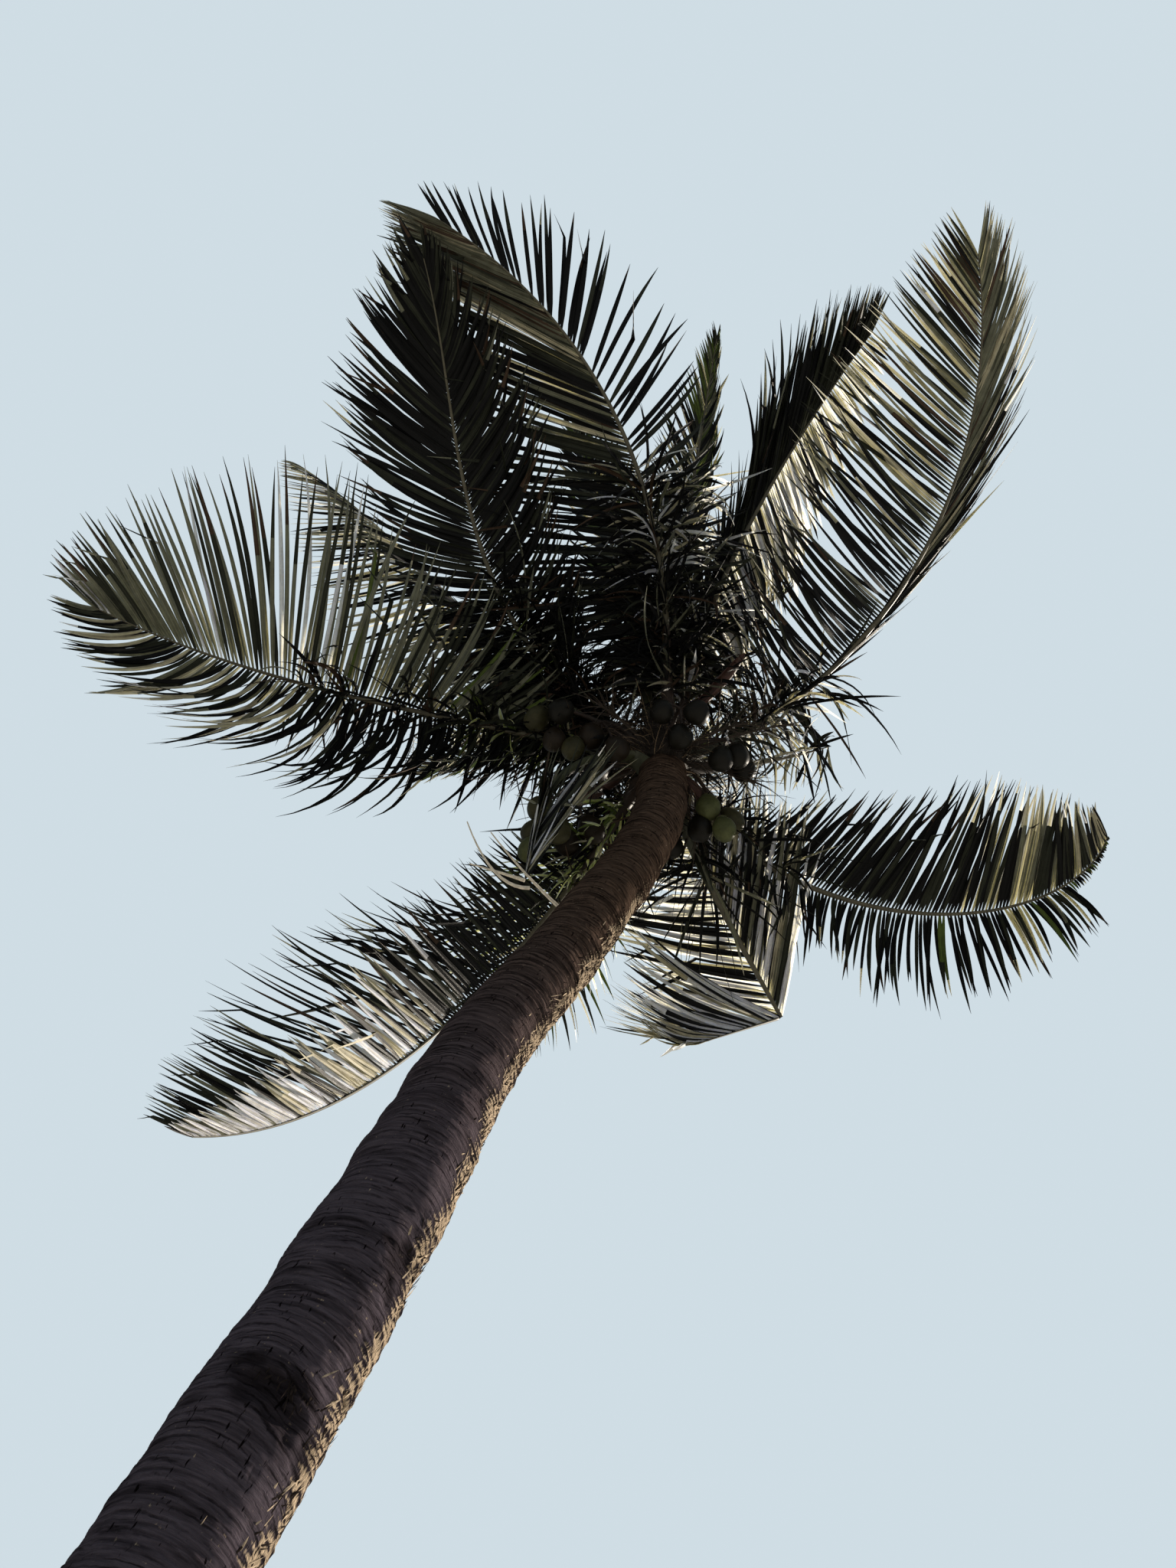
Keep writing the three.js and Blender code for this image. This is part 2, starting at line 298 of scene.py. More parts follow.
# %% The trunk's middle line
TRUNK_LINE = np.array([
    (0, 0, 0), (0.105, 0.160, 0.400), (0.680, 1.020, 2.420), (1.005, 1.510, 3.650),
    (1.190, 1.980, 4.590), (1.617, 2.570, 5.840), (2.110, 3.060, 7.310), (2.170, 3.100, 7.820),
])
TRUNK_HEIGHT = TRUNK_LINE[-1, 2]
LINE_POINTS = 1600


def smooth_line(points, count):
    """Points evenly along the curve that runs through the stated ones."""
    ends = 2 * points[0] - points[1], 2 * points[-1] - points[-2]
    padded = np.vstack([ends[0], points, ends[1]])
    curve = []
    for step in np.linspace(0, len(points) - 1, count):
        k = min(int(step), len(points) - 2)
        part = step - k
        p0, p1, p2, p3 = padded[k:k + 4]
        gap0, gap1, gap2 = [np.linalg.norm(b - a) ** 0.5 for a, b in ((p0, p1), (p1, p2), (p2, p3))]
        leave = ((p1 - p0) / gap0 - (p2 - p0) / (gap0 + gap1) + (p2 - p1) / gap1) * gap1
        reach = ((p2 - p1) / gap1 - (p3 - p1) / (gap1 + gap2) + (p3 - p2) / gap2) * gap1
        bend = -3 * p1 + 3 * p2 - 2 * leave - reach
        twist = 2 * p1 - 2 * p2 + leave + reach
        curve.append(p1 + leave * part + bend * part ** 2 + twist * part ** 3)
    return np.array(curve)


def on_line(line, marks, wanted):
    """What a line of points says at the wanted marks."""
    return np.stack([np.interp(wanted, marks, line[:, k]) for k in range(3)], -1)


def unit(v):
    return v / np.maximum(np.linalg.norm(v, axis=-1, keepdims=True), 1e-9)


def smooth_step(v, low, high):
    part = np.clip((v - low) / (high - low), 0, 1)
    return part * part * (3 - 2 * part)


trunk_line = smooth_line(TRUNK_LINE, LINE_POINTS)
trunk_steps = np.linalg.norm(np.diff(trunk_line, axis=0), axis=1)
trunk_arc = np.concatenate([[0], np.cumsum(trunk_steps)])
trunk_way = unit(np.gradient(trunk_line, axis=0))
print("trunk length", round(trunk_arc[-1], 3))

# %% The relief of the bark
RINGS = 420
RING_GAP = 0.029
RING_DEPTH = 0.0042
NOTCH = 0.17
SWELLING = 0.0085
CRACKS = 170
# The side of the trunk that faces the key light: its bark is weathered, and the finish also paints it pale
# there as sunlight.
WEATHER_AND_SUN_SIDE = math.radians(24)
YOUNG_FROM, YOUNG_TO = 0.40, 0.80
SOUND_FROM, SOUND_TO = 0.78, 0.92


def patches(around, along, cells, step, rng):
    """Smooth random heights from -1 to 1 that close round the trunk; step is a cell's length."""
    rows = int(along.max() / step) + 3
    values = rng.uniform(-1, 1, (rows, cells))
    u = around / (2 * math.pi) * cells
    v = along / step
    iu, iv = np.floor(u).astype(int), np.floor(v).astype(int)
    fu, fv = smooth_step(u - iu, 0, 1), smooth_step(v - iv, 0, 1)
    a, b = values[iv, iu % cells], values[iv, (iu + 1) % cells]
    c, d = values[iv + 1, iu % cells], values[iv + 1, (iu + 1) % cells]
    return (a * (1 - fu) + b * fu) * (1 - fv) + (c * (1 - fu) + d * fu) * fv


def angle_between(a, b):
    return np.angle(np.exp(1j * (a - b)))


def bark_relief(around, along, rng):
    """How far the bark stands off its smooth round, how many rings lie below each point, and how
    weathered it is on the side that faces the key light, where the finish also paints pale sunlight, and
    how young it is."""
    def lumps(height, cells, step):
        return height * patches(around, along, cells, step, rng)

    up = along / trunk_arc[-1]
    heights = np.cumsum(RING_GAP * rng.uniform(0.5, 1.6, RINGS))
    tilt = lumps(0.050, 3, 0.6) + lumps(0.022, 9, 0.10)
    ring = np.interp(along + tilt, heights, np.arange(RINGS))
    part = ring % 1
    notch = np.exp(-(np.minimum(part, 1 - part) / NOTCH) ** 2)
    young = smooth_step(up, YOUNG_FROM, YOUNG_TO)
    strength = np.clip(0.55 + lumps(0.9, 6, 0.09), 0, 1.3) * (0.7 + 1.1 * young)
    turned_away = np.cos(around - WEATHER_AND_SUN_SIDE) + lumps(0.12, 9, 0.16)
    weathered_and_sunlit = smooth_step(turned_away, 0.60, 0.88) * (1 - 0.3 * smooth_step(turned_away, 0.88, 1.05))
    weathered_and_sunlit *= 1 - smooth_step(up, SOUND_FROM, SOUND_TO)
    raised = RING_DEPTH * strength * (0.8 * part - notch) * (1 + 0.6 * weathered_and_sunlit)
    raised += lumps(SWELLING, 3, 0.19) + lumps(0.0045, 7, 0.11)
    raised += lumps(0.0020, 44, 0.022) * (1 + 1.6 * weathered_and_sunlit) + lumps(0.0050, 48, 0.045) * weathered_and_sunlit
    for _ in range(CRACKS):
        middle_around, middle_along = rng.uniform(0, 2 * math.pi), rng.uniform(0, along.max())
        length, width = rng.uniform(0.012, 0.045), rng.uniform(0.035, 0.05)
        slant, depth = rng.uniform(-1.5, 1.5), rng.uniform(0.002, 0.006)
        above = along - middle_along
        off = angle_between(around, middle_around + slant * above)
        raised -= depth * np.exp(-(off / width) ** 2 - (above / length) ** 4)
    return raised, ring, weathered_and_sunlit, young


# %% The hollows in the bark
HOLLOW = {"around": math.radians(297), "height": 2.745,
          "wide": math.radians(40), "long": 0.070, "deep": 0.026}
DENT = {"around": math.radians(328), "height": 3.300,
        "wide": math.radians(20), "long": 0.110, "deep": 0.012}
STAIN_WIDER, STAIN_LONGER = 1.5, 1.7


def hollow_shape(hollow, around, along, rng):
    """From 0 at the hollow's edge to 1 at its bottom, and the same for the dark stain round it."""
    middle = np.interp(hollow["height"], trunk_line[:, 2], trunk_arc)
    off = angle_between(around, hollow["around"]) / hollow["wide"]
    up = (along - middle + 0.022 * off) / hollow["long"]
    torn = 0.26 * patches(around, along, 20, 0.05, rng) + 0.20 * patches(around, along, 44, 0.02, rng)
    inside = 1 - np.hypot(off, up) + torn
    near = 1 - np.hypot(off / STAIN_WIDER, up / STAIN_LONGER) + torn
    return smooth_step(inside, -0.05, 0.70), smooth_step(near, 0.05, 0.55)


# %% Helpers for pieces
def deselect():
    bpy.ops.object.select_all(action="DESELECT")


def smooth(piece, angle):
    deselect()
    piece.select_set(True)
    bpy.context.view_layer.objects.active = piece
    bpy.ops.object.shade_smooth_by_angle(angle=math.radians(angle))


def new_piece(name, mesh, smooth_angle):
    piece = bpy.data.objects.new(name, mesh)
    bpy.context.scene.collection.objects.link(piece)
    smooth(piece, smooth_angle)
    return piece


def finish_piece(piece, finishes, replaced=()):
    for finish in finishes:
        piece.data.materials.append(finish)
    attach(piece, "root")
    if replaced:
        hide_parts(*replaced)


def points_of(piece):
    places = np.empty(len(piece.data.vertices) * 3, np.float32)
    piece.data.vertices.foreach_get("co", places)
    return places.reshape(-1, 3).astype(float)


def move_points(piece, places):
    piece.data.vertices.foreach_set("co", places.astype(np.float32).ravel())
    piece.data.update()


# %% The trunk's shape
FOOT_WIDTH, TOP_WIDTH = 0.400, 0.336
BELLY = 0.014
ROOT_FLARE, FLARE_HEIGHT = 0.16, 0.18
LEVEL_END = 0.6


def trunk_place(around, along, out, fullness=1.0):
    """The place at an angle round the trunk, a length along it, and so far off its smooth round.
    Its rows are level at both ends and square to its middle line between them."""
    middle = on_line(trunk_line, trunk_arc, along)
    way = on_line(trunk_way, trunk_arc, along)
    z = middle[..., 2:]
    square = smooth_step(z, 0, LEVEL_END) * (1 - smooth_step(z, TRUNK_HEIGHT - LEVEL_END, TRUNK_HEIGHT))
    way = unit(np.array([0, 0, 1.0]) * (1 - square) + way * square)
    part = z / TRUNK_HEIGHT
    width = FOOT_WIDTH + (TOP_WIDTH - FOOT_WIDTH) * part + BELLY * np.sin(math.pi * part)
    radius = (width + ROOT_FLARE * np.exp(-z / FLARE_HEIGHT)) / 2
    first = unit(np.cross(np.array([0, 1.0, 0]), way))
    second = np.cross(way, first)
    outward = first * np.cos(around)[..., None] + second * np.sin(around)[..., None]
    reach = (radius + out[..., None]) * np.asarray(fullness)[..., None]
    return middle + outward * reach, outward, way


# %% The trunk from a cylinder
BARK_ROWS, BARK_SIDES = 125, 12
FINER = 3
SEEN_FROM = 2.3
ROWS_BELOW = 0.16


def cut_lengthwise(piece, cuts):
    """Cuts every edge that runs along the cylinder, so that new rows of points appear."""
    places = points_of(piece)
    ends = np.array([edge.vertices[:] for edge in piece.data.edges])
    steep = np.abs(places[ends[:, 0], 2] - places[ends[:, 1], 2]) > 1e-5
    piece.data.vertices.foreach_set("select", np.zeros(len(places), bool))
    piece.data.polygons.foreach_set("select", np.zeros(len(piece.data.polygons), bool))
    piece.data.edges.foreach_set("select", steep)
    bpy.context.tool_settings.mesh_select_mode = (False, True, False)
    bpy.ops.object.mode_set(mode="EDIT")
    bpy.ops.mesh.subdivide(number_cuts=cuts)
    bpy.ops.object.mode_set(mode="OBJECT")


deselect()
bpy.ops.mesh.primitive_cylinder_add(vertices=BARK_SIDES, radius=1, depth=1, location=(0, 0, 0.5))
trunk = bpy.context.object
trunk.name = "trunk_bark"
bpy.ops.object.transform_apply(location=True)
cut_lengthwise(trunk, BARK_ROWS - 1)
finer = trunk.modifiers.new("finer", "SUBSURF")
finer.subdivision_type = "SIMPLE"
finer.levels = finer.render_levels = FINER
bpy.ops.object.modifier_apply(modifier=finer.name)

round_places = points_of(trunk)
around = np.arctan2(round_places[:, 1], round_places[:, 0]) % (2 * math.pi)
corner = math.pi / BARK_SIDES
flat_side = math.cos(corner) / np.cos(around % (2 * corner) - corner)
fullness = np.clip(np.hypot(round_places[:, 0], round_places[:, 1]) / flat_side, 0, 1)
seen_arc = np.interp(SEEN_FROM, trunk_line[:, 2], trunk_arc)
along = np.interp(round_places[:, 2], [0, ROWS_BELOW, 1], [0, seen_arc, trunk_arc[-1]])
bark_rng = np.random.default_rng(11)
raised, ring, weathered_and_sunlit, young = bark_relief(around, along, bark_rng)
stain = np.zeros(len(along))
for hollow in (HOLLOW, DENT):
    sunk, stained = hollow_shape(hollow, around, along, bark_rng)
    raised -= hollow["deep"] * sunk
    stain = np.maximum(stain, stained)
raised *= smooth_step(along, 0, 0.05)
move_points(trunk, trunk_place(around, along, raised, fullness)[0])
print("trunk", len(trunk.data.polygons), "faces")

# %% [markdown]
# ## The bark's finish
# The rings are finer than the trunk's faces, so the finish draws them again as thin dark lines.
# It can't use Object coordinates, because the trunk bends. So each point of the mesh keeps its
# place on a straight trunk and its count of rings, and the noise and the lines follow those.

# %% The bark's finish
BARK_DARK = (0.005, 0.004, 0.004)
BARK_OLD = (0.074, 0.061, 0.074)
BARK_YOUNG = (0.080, 0.053, 0.039)
BARK_PALE = (0.430, 0.335, 0.240)
BARK_DEPTH = 0.005
STRAIGHT_RADIUS = 0.18


def bark_rings(finish, place, young):
    """How far each point is off the nearest ring, and the thin broken dark line on that ring."""
    wander = add_noise(finish, place, (16, 16, 22))
    wavy = add_math(finish, "MULTIPLY_ADD", wander, 0.9, add_attribute(finish, "ring"))
    off_line = add_math(finish, "PINGPONG", wavy, 0.5)
    broken = add_range(finish, add_noise(finish, place, (9, 9, 26)), 0.40, 0.62, 0.0, 0.75)
    thicker = add_math(finish, "MULTIPLY_ADD", young, -0.09, off_line)
    line = add_math(finish, "MULTIPLY", add_range(finish, thicker, 0.04, 0.15, 1.0, 0.0), broken)
    return off_line, line


def bark_finish():
    finish, shader = new_finish("bark")
    place = add_attribute(finish, "straight", "Vector")
    streaks = add_noise(finish, place, (7, 7, 80))
    grain = add_noise(finish, place, (50, 50, 50))
    fibres = add_noise(finish, place, (110, 110, 14), 3)
    clumps = add_noise(finish, place, (30, 30, 9), 3)
    young, weathered_and_sunlit = add_attribute(finish, "young"), add_attribute(finish, "weathered_and_sunlit")
    old, new = (add_ramp(finish, streaks, colour, 0.5, 1.6) for colour in (BARK_OLD, BARK_YOUNG))
    colour = add_mix(finish, young, old, new)
    off_line, line = bark_rings(finish, place, young)
    bands = add_range(finish, add_noise(finish, place, (3, 3, 26), 3), 0.50, 0.68, 0.0, 0.65)
    ticks = add_range(finish, add_noise(finish, place, (75, 75, 17), 2), 0.66, 0.72)
    # Painted shade: the weathered side is darkened towards black, so that the bark between the pale fibres
    # reads as shade in the gaps.
    painted_gap_shade = add_math(finish, "MULTIPLY", weathered_and_sunlit, 0.7)
    for dark in (bands, line, ticks, painted_gap_shade):
        colour = add_mix(finish, dark, colour, BARK_DARK)
    # Painted sunlight, partly real weathering: pale bark is laid over the side that faces the key light.
    # It comes in fibres, in clumps, and in streaks along the rings, which stand for ring ridges that catch
    # the sun.
    frayed_and_sunlit = weathered_and_sunlit
    for pattern, weight in ((fibres, 2.0), (clumps, 1.4), (off_line, 1.6)):
        frayed_and_sunlit = add_math(finish, "MULTIPLY_ADD", pattern, weight, frayed_and_sunlit)
    colour = add_mix(finish, add_range(finish, frayed_and_sunlit, 2.75, 3.15), colour, BARK_PALE)
    stained = add_math(finish, "MULTIPLY", add_attribute(finish, "stain"), 0.70)
    join(finish, add_mix(finish, stained, colour, BARK_DARK), shader.inputs["Base Color"])
    height = add_math(finish, "MULTIPLY", streaks, 2)
    height = add_math(finish, "MULTIPLY_ADD", grain, 0.8, height)
    height = add_math(finish, "MULTIPLY_ADD", add_math(finish, "MULTIPLY", fibres, weathered_and_sunlit), 5, height)
    height = add_math(finish, "SUBTRACT", height, add_math(finish, "ADD", line, ticks))
    add_bump(finish, height, 1.0, BARK_DEPTH)
    join(finish, add_range(finish, grain, 0, 1, 0.75, 0.95), shader.inputs["Roughness"])
    set_gloss(finish, 0.0)
    return finish


for name, values in (("weathered_and_sunlit", weathered_and_sunlit), ("young", young), ("ring", ring), ("stain", stain)):
    layer = trunk.data.attributes.new(name, "FLOAT", "POINT")
    layer.data.foreach_set("value", values.astype(np.float32))
straight = np.column_stack([STRAIGHT_RADIUS * np.cos(around), STRAIGHT_RADIUS * np.sin(around), along])
layer = trunk.data.attributes.new("straight", "FLOAT_VECTOR", "POINT")
layer.data.foreach_set("vector", straight.astype(np.float32).ravel())
smooth(trunk, 50)
finish_piece(trunk, [bark_finish()], ["trunk"])
print("bark rings", round(ring.max()))

# %% [markdown]
# ## Joined meshes from arrays
# Leaflets, fibres and splinters come by the hundred. Each is a thin closed tube of a few faces:
# rings of three points or more, joined by four-sided faces, and closed at both ends. One function
# turns the points of a whole spray into one mesh. It also lays a map on it, across and along each
# leaflet, and gives each face its finish.

# %% Thin closed strips
def rings_to_piece(name, rings, finish_numbers, smooth_angle):
    """rings: strips x rings x points round x 3. finish_numbers: one for all, a column with one for
    each strip, or strips x (rings - 1)."""
    strips, count, sides, _ = rings.shape
    finish_of_ring = np.broadcast_to(finish_numbers, (strips, count - 1))
    index = np.arange(strips * count * sides).reshape(strips, count, sides)
    low, high = index[:, :-1], index[:, 1:]
    turned = np.roll(np.arange(sides), -1)
    walls = np.stack([low, low[..., turned], high[..., turned], high], -1)
    walls_finish = np.broadcast_to(finish_of_ring[:, :, None], walls.shape[:3])
    caps = np.concatenate([index[:, 0, ::-1], index[:, -1]])
    face_finish = np.concatenate([walls_finish.ravel(), finish_of_ring[:, 0], finish_of_ring[:, -1]])
    sizes = np.concatenate([np.full(walls.size // 4, 4), np.full(len(caps), sides)])
    corners = np.concatenate([walls.ravel(), caps.ravel()])
    first_corners = np.concatenate([[0], np.cumsum(sizes)[:-1]])
    mesh = bpy.data.meshes.new(name)
    mesh.vertices.add(strips * count * sides)
    mesh.vertices.foreach_set("co", rings.astype(np.float32).ravel())
    mesh.loops.add(len(corners))
    mesh.loops.foreach_set("vertex_index", corners.astype(np.int32))
    mesh.polygons.add(len(sizes))
    mesh.polygons.foreach_set("loop_start", first_corners.astype(np.int32))
    mesh.polygons.foreach_set("material_index", face_finish.astype(np.int32))
    mesh.update(calc_edges=True)
    across = 0.5 + 0.5 * np.cos(np.arange(sides) * 2 * math.pi / sides)
    u = np.broadcast_to(across, (strips, count, sides)).ravel()
    v = np.broadcast_to(np.linspace(0, 1, count)[:, None], (strips, count, sides)).ravel()
    layer = mesh.uv_layers.new(name="leaf")
    layer.data.foreach_set("uv", np.stack([u[corners], v[corners]], -1).astype(np.float32).ravel())
    return new_piece(name, mesh, smooth_angle)


# %% [markdown]
# ## The fronds' plan
# A coconut frond is a bare stalk that runs on as a rib, with a row of narrow leaflets on either
# side. Each frond here has its heading and its climb at foot, middle and tip, and each row has the
# leaflets' length, their angle to the rib, how far they stand up, and how much wind and weight
# bend them. These few numbers give every leaflet its place, in the space of the frond's CAD blade.

# %% Sizes and colours that the fronds share
CROWN = np.array([2.170, 3.100, 7.950])
WIND = np.array([-0.62, -0.75, 0.10])
DOWN = np.array([0, 0, -1.0])
HEART_BOTTOM, HEART_HEIGHT, HEART_RADIUS = -0.128, 0.618, 0.185
STALK = 0.900
FOOT_CLEARANCE = 0.055

# Shares of the leaf finishes among a row's leaflets. Rows that lie in shade get mostly near-black and
# olive leaflets (DARK, SHADED): painted shade. Sunlit rows get pale ones (SUNNY, PALE, BARRED, STREAKED,
# BRIGHT): the real colour of dry leaflets, and painted sunlight as well. So the two rows of one frond may
# get a dark and a pale mix, as lit and shaded copies.
DARK = {"deep": 8, "olive": 3}
SHADED = {"deep": 5, "olive": 5, "khaki": 1}
LEAFY = {"deep": 3, "olive": 5, "green": 3, "khaki": 2}
MIXED = {"deep": 4, "olive": 4, "khaki": 3, "straw": 2}
GOLDEN = {"deep": 2, "olive": 4, "khaki": 5, "brown": 1, "straw": 1}
TAWNY = {"olive": 1, "khaki": 10, "brown": 2, "straw": 2}
BARRED = {"deep": 5, "olive": 3, "khaki": 2, "straw": 3, "cream": 4}
SUNNY = {"olive": 2, "khaki": 3, "straw": 4, "cream": 2}
PALE = {"deep": 1, "khaki": 2, "straw": 4, "cream": 5}
STREAKED = {"deep": 5, "khaki": 1, "straw": 2, "cream": 6}
BRIGHT = {"green": 4, "lime": 7, "straw": 1}
DUSTY = {"olive": 5, "green": 2, "khaki": 9}
FADING = {"olive": 3, "khaki": 9, "cream": 2}
GRASSY = {"olive": 4, "green": 4, "lime": 1, "khaki": 3}
HANGING = {"deep": 4, "khaki": 6, "straw": 3, "cream": 1}


def side(length, angle, lift, wind, sag, foot, tip, last=1.0, ragged=0.3, first=0.66, kept=1.0):
    """angle: to the rib, at the row's foot, middle and tip. foot, tip: the share of each leaf finish
    among the leaflets there. last: where the shredded end begins. first: the foremost leaflet's part
    of the full length. kept: the part of the leaflets that is still there."""
    return {"length": length, "angle": angle, "lift": lift, "wind": wind, "sag": sag, "foot": foot,
            "tip": tip, "last": last, "ragged": ragged, "first": first, "kept": kept}


def plan(foot, length, turn, rise, left, right, **more):
    """foot: the stalk's height on the heart. turn, rise: its heading and its climb at foot, middle
    and tip."""
    return {"foot": foot, "length": length, "turn": turn, "rise": rise,
            "left": left, "right": right, **more}


# %% The fronds' plan
FRONDS = {
    "frond_left": plan(
        0.03, 3.95, (177, 199, 237), (28, -3, -27),
        side(1.60, (145, 80, 15), 35, 0.1, 0.0, DUSTY, FADING, first=0.3),
        side(1.20, (105, 72, 20), -65, 1.3, 0.5, DARK, MIXED, ragged=0.8),
        spacing=0.028, broad=0.88),
    "frond_left_back": plan(
        0.20, 4.20, (176, 197, 199), (44, 50, 33),
        side(0.90, (100, 85, 20), -60, 0.0, 0.6, SHADED, HANGING),
        side(1.00, (90, 60, 15), -40, 0.8, 1.0, HANGING, HANGING)),
    "frond_upper_left": plan(
        0.32, 4.10, (169, 249, 260), (44, 32, -2),
        side(1.00, (80, 50, 15), 10, 0.3, 0.0, DARK, DARK),
        side(1.30, (75, 50, 15), 5, 0.1, -0.3, DARK, DARK),
        spacing=0.026),
    "frond_top": plan(
        0.25, 4.40, (282, 244, 214), (77, 35, -9),
        side(1.15, (85, 60, 25), 45, 0.0, -0.3, DARK, DARK, kept=0.45),
        side(1.68, (98, 38, 12), 0, 0.1, 0.2, DARK, TAWNY, first=0.75),
        spacing=0.028),
    "frond_top_small": plan(
        0.42, 3.70, (296, 290, 284), (81, 64, 46),
        side(0.65, (36, 25, 12), 10, 0.3, 0.0, DARK, GRASSY),
        side(0.65, (40, 28, 12), 0, 0.3, 0.2, DARK, GRASSY)),
    "frond_top_right": plan(
        0.32, 4.10, (326, 317, 310), (80, 54, 24),
        side(1.05, (120, 135, 90), -30, 0.4, 1.5, STREAKED, PALE),
        side(1.50, (6, 17, 14), 0, 0.1, 0.0, DARK, SHADED, first=0.5),
        spacing=0.024),
    "frond_right_tall": plan(
        0.10, 4.45, (368, 302, 253), (37, 22, 10),
        side(1.28, (-5, 14, 24), 25, 0.15, 0.0, DARK, TAWNY),
        side(1.42, (105, 76, 25), -20, 0.1, -0.5, DARK, GOLDEN, ragged=0.25),
        spacing=0.026, broad=0.72),
    "frond_right_low": plan(
        0.012, 3.85, (59, -13, -100), (-6, -24, -13),
        side(0.75, (95, 75, 15), -80, 0.1, 1.2, DARK, LEAFY, last=0.8, ragged=1.0),
        side(1.05, (75, 60, 25), 40, 0.0, 0.0, DARK, MIXED, ragged=0.2),
        spacing=0.026, broad=0.86),
    "frond_folded": plan(
        -0.06, 2.80, (72, 51, 50), (-20, -41, -50),
        side(1.18, (108, 118, 100), 15, 0.3, 0.0, STREAKED, STREAKED, ragged=0.25, first=0.8),
        side(1.35, (150, 138, 128), 30, 0.0, 0.0, BARRED, PALE, ragged=0.2),
        spacing=0.022,
        fold={
            "at": 0.65, "turn": 215, "rise": -36,
            "left": side(1.30, (80, 44, 5), 108, 0.2, -0.35, STREAKED, STREAKED),
            "right": side(1.32, (34, 27, 14), 30, 0.1, -0.55, STREAKED, SUNNY),
        }),
    "frond_left_low": plan(
        -0.06, 4.25, (135, 196, 238), (-47, -58, -28),
        side(0.86, (85, 55, 15), 35, 0.2, 0.0, DARK, PALE, ragged=0.2),
        side(1.20, (85, 60, 15), 85, 0.6, 0.0, DARK, SHADED, ragged=0.6, kept=0.7),
        spacing=0.024, broad=0.72),
    "frond_back_low": plan(
        -0.02, 2.30, (124, 120, 116), (12, -12, -32),
        side(1.00, (80, 55, 15), -20, 0.3, 0.5, BRIGHT, LEAFY),
        side(1.00, (80, 55, 15), -20, 0.3, 0.5, BRIGHT, LEAFY)),
    "frond_back": plan(
        0.10, 4.20, (72, 78, 90), (60, 42, 8),
        side(1.00, (80, 50, 15), 25, 0.3, 0.2, LEAFY, LEAFY),
        side(1.00, (80, 50, 15), 25, 0.3, 0.2, LEAFY, MIXED)),
    "frond_back_left": plan(
        0.12, 3.60, (125, 135, 150), (58, 42, 5),
        side(0.95, (80, 50, 15), 25, 0.3, 0.2, LEAFY, MIXED),
        side(0.95, (80, 50, 15), 25, 0.3, 0.2, LEAFY, LEAFY)),
    "frond_inner_right": plan(
        0.36, 3.50, (40, 30, 10), (78, 66, 50),
        side(0.90, (60, 40, 15), 30, 0.3, 0.1, LEAFY, LEAFY),
        side(0.90, (60, 40, 15), 30, 0.3, 0.1, LEAFY, LEAFY)),
    "frond_inner_left": plan(
        0.45, 3.40, (230, 232, 236), (84, 74, 60),
        side(0.85, (50, 35, 15), 30, 0.2, 0.0, LEAFY, LEAFY),
        side(0.85, (50, 35, 15), 30, 0.2, 0.0, LEAFY, LEAFY)),
    "frond_broken": plan(
        0.02, 1.20, (20, 10, 0), (24, 24, 24),
        side(0.50, (80, 80, 80), 10, 0.2, 0.3, MIXED, MIXED, ragged=1.0),
        side(0.80, (110, 110, 110), 60, 0.6, 0.2, MIXED, MIXED, ragged=1.0),
        grown=3.60, stalk=0.50),
    "frond_shrivelled": plan(
        -0.08, 1.90, (205, 215, 222), (-20, -70, -85),
        side(0.85, (130, 140, 150), -15, 0.0, 0.0, BARRED, BARRED, ragged=0.5),
        side(0.70, (150, 158, 165), 160, 0.0, 0.0, SHADED, BARRED, ragged=0.5),
        stalk=1.45, spacing=0.011),
}
print(len(FRONDS), "fronds")

# %% The ribs' lines and directions
RIB_STEPS = 60


def through(stated, s):
    """The value at the parts s, on the curve through the values at foot, middle and tip."""
    foot, middle, tip = stated
    return foot * (1 - s) * (1 - 2 * s) + 4 * middle * s * (1 - s) - tip * s * (1 - 2 * s)


def heart_radius(height):
    part = (height - HEART_BOTTOM) / HEART_HEIGHT
    return HEART_RADIUS * math.sqrt(max(0, 1 - part * part))


def rib_frame(frond, s):
    """Along the rib, to its left and up off it, at the parts s of its length."""
    heading = np.radians(through(frond["turn"], s))
    climb = np.radians(through(frond["rise"], s))
    if "fold" in frond:
        past = s > frond["fold"]["at"]
        heading = np.where(past, math.radians(frond["fold"]["turn"]), heading)
        climb = np.where(past, math.radians(frond["fold"]["rise"]), climb)
    level = np.cos(climb)
    ahead = np.stack([level * np.cos(heading), level * np.sin(heading), np.sin(climb)], -1)
    left = np.stack([-np.sin(heading), np.cos(heading), np.zeros_like(heading)], -1)
    return ahead, left, np.cross(ahead, left)


def rib_line(frond):
    out = heart_radius(frond["foot"]) + FOOT_CLEARANCE
    heading = math.radians(frond["turn"][0])
    foot = CROWN + (out * math.cos(heading), out * math.sin(heading), frond["foot"])
    ahead, _, _ = rib_frame(frond, (np.arange(RIB_STEPS) + 0.5) / RIB_STEPS)
    steps = ahead * frond["length"] / RIB_STEPS
    return np.vstack([foot, foot + np.cumsum(steps, axis=0)])


def at_part(line, s):
    return on_line(line, np.linspace(0, 1, len(line)), s)


def bare_stalk(frond):
    return frond.get("stalk", STALK)


# %% [markdown]
# ## Leaflets
# A coconut leaflet is a long narrow blade with a stiff middle, folded like a roof, broadest near
# its foot and drawn out to a point. Wind and weight bend it more and more towards its end. A leaf
# picture on a flat card would be cheaper, but it has no edge and no fold that catches light. So
# each leaflet is a thin closed strip, with a ridge in its middle, and no two are quite alike:
# some are snapped and hang, and some have a dry end.

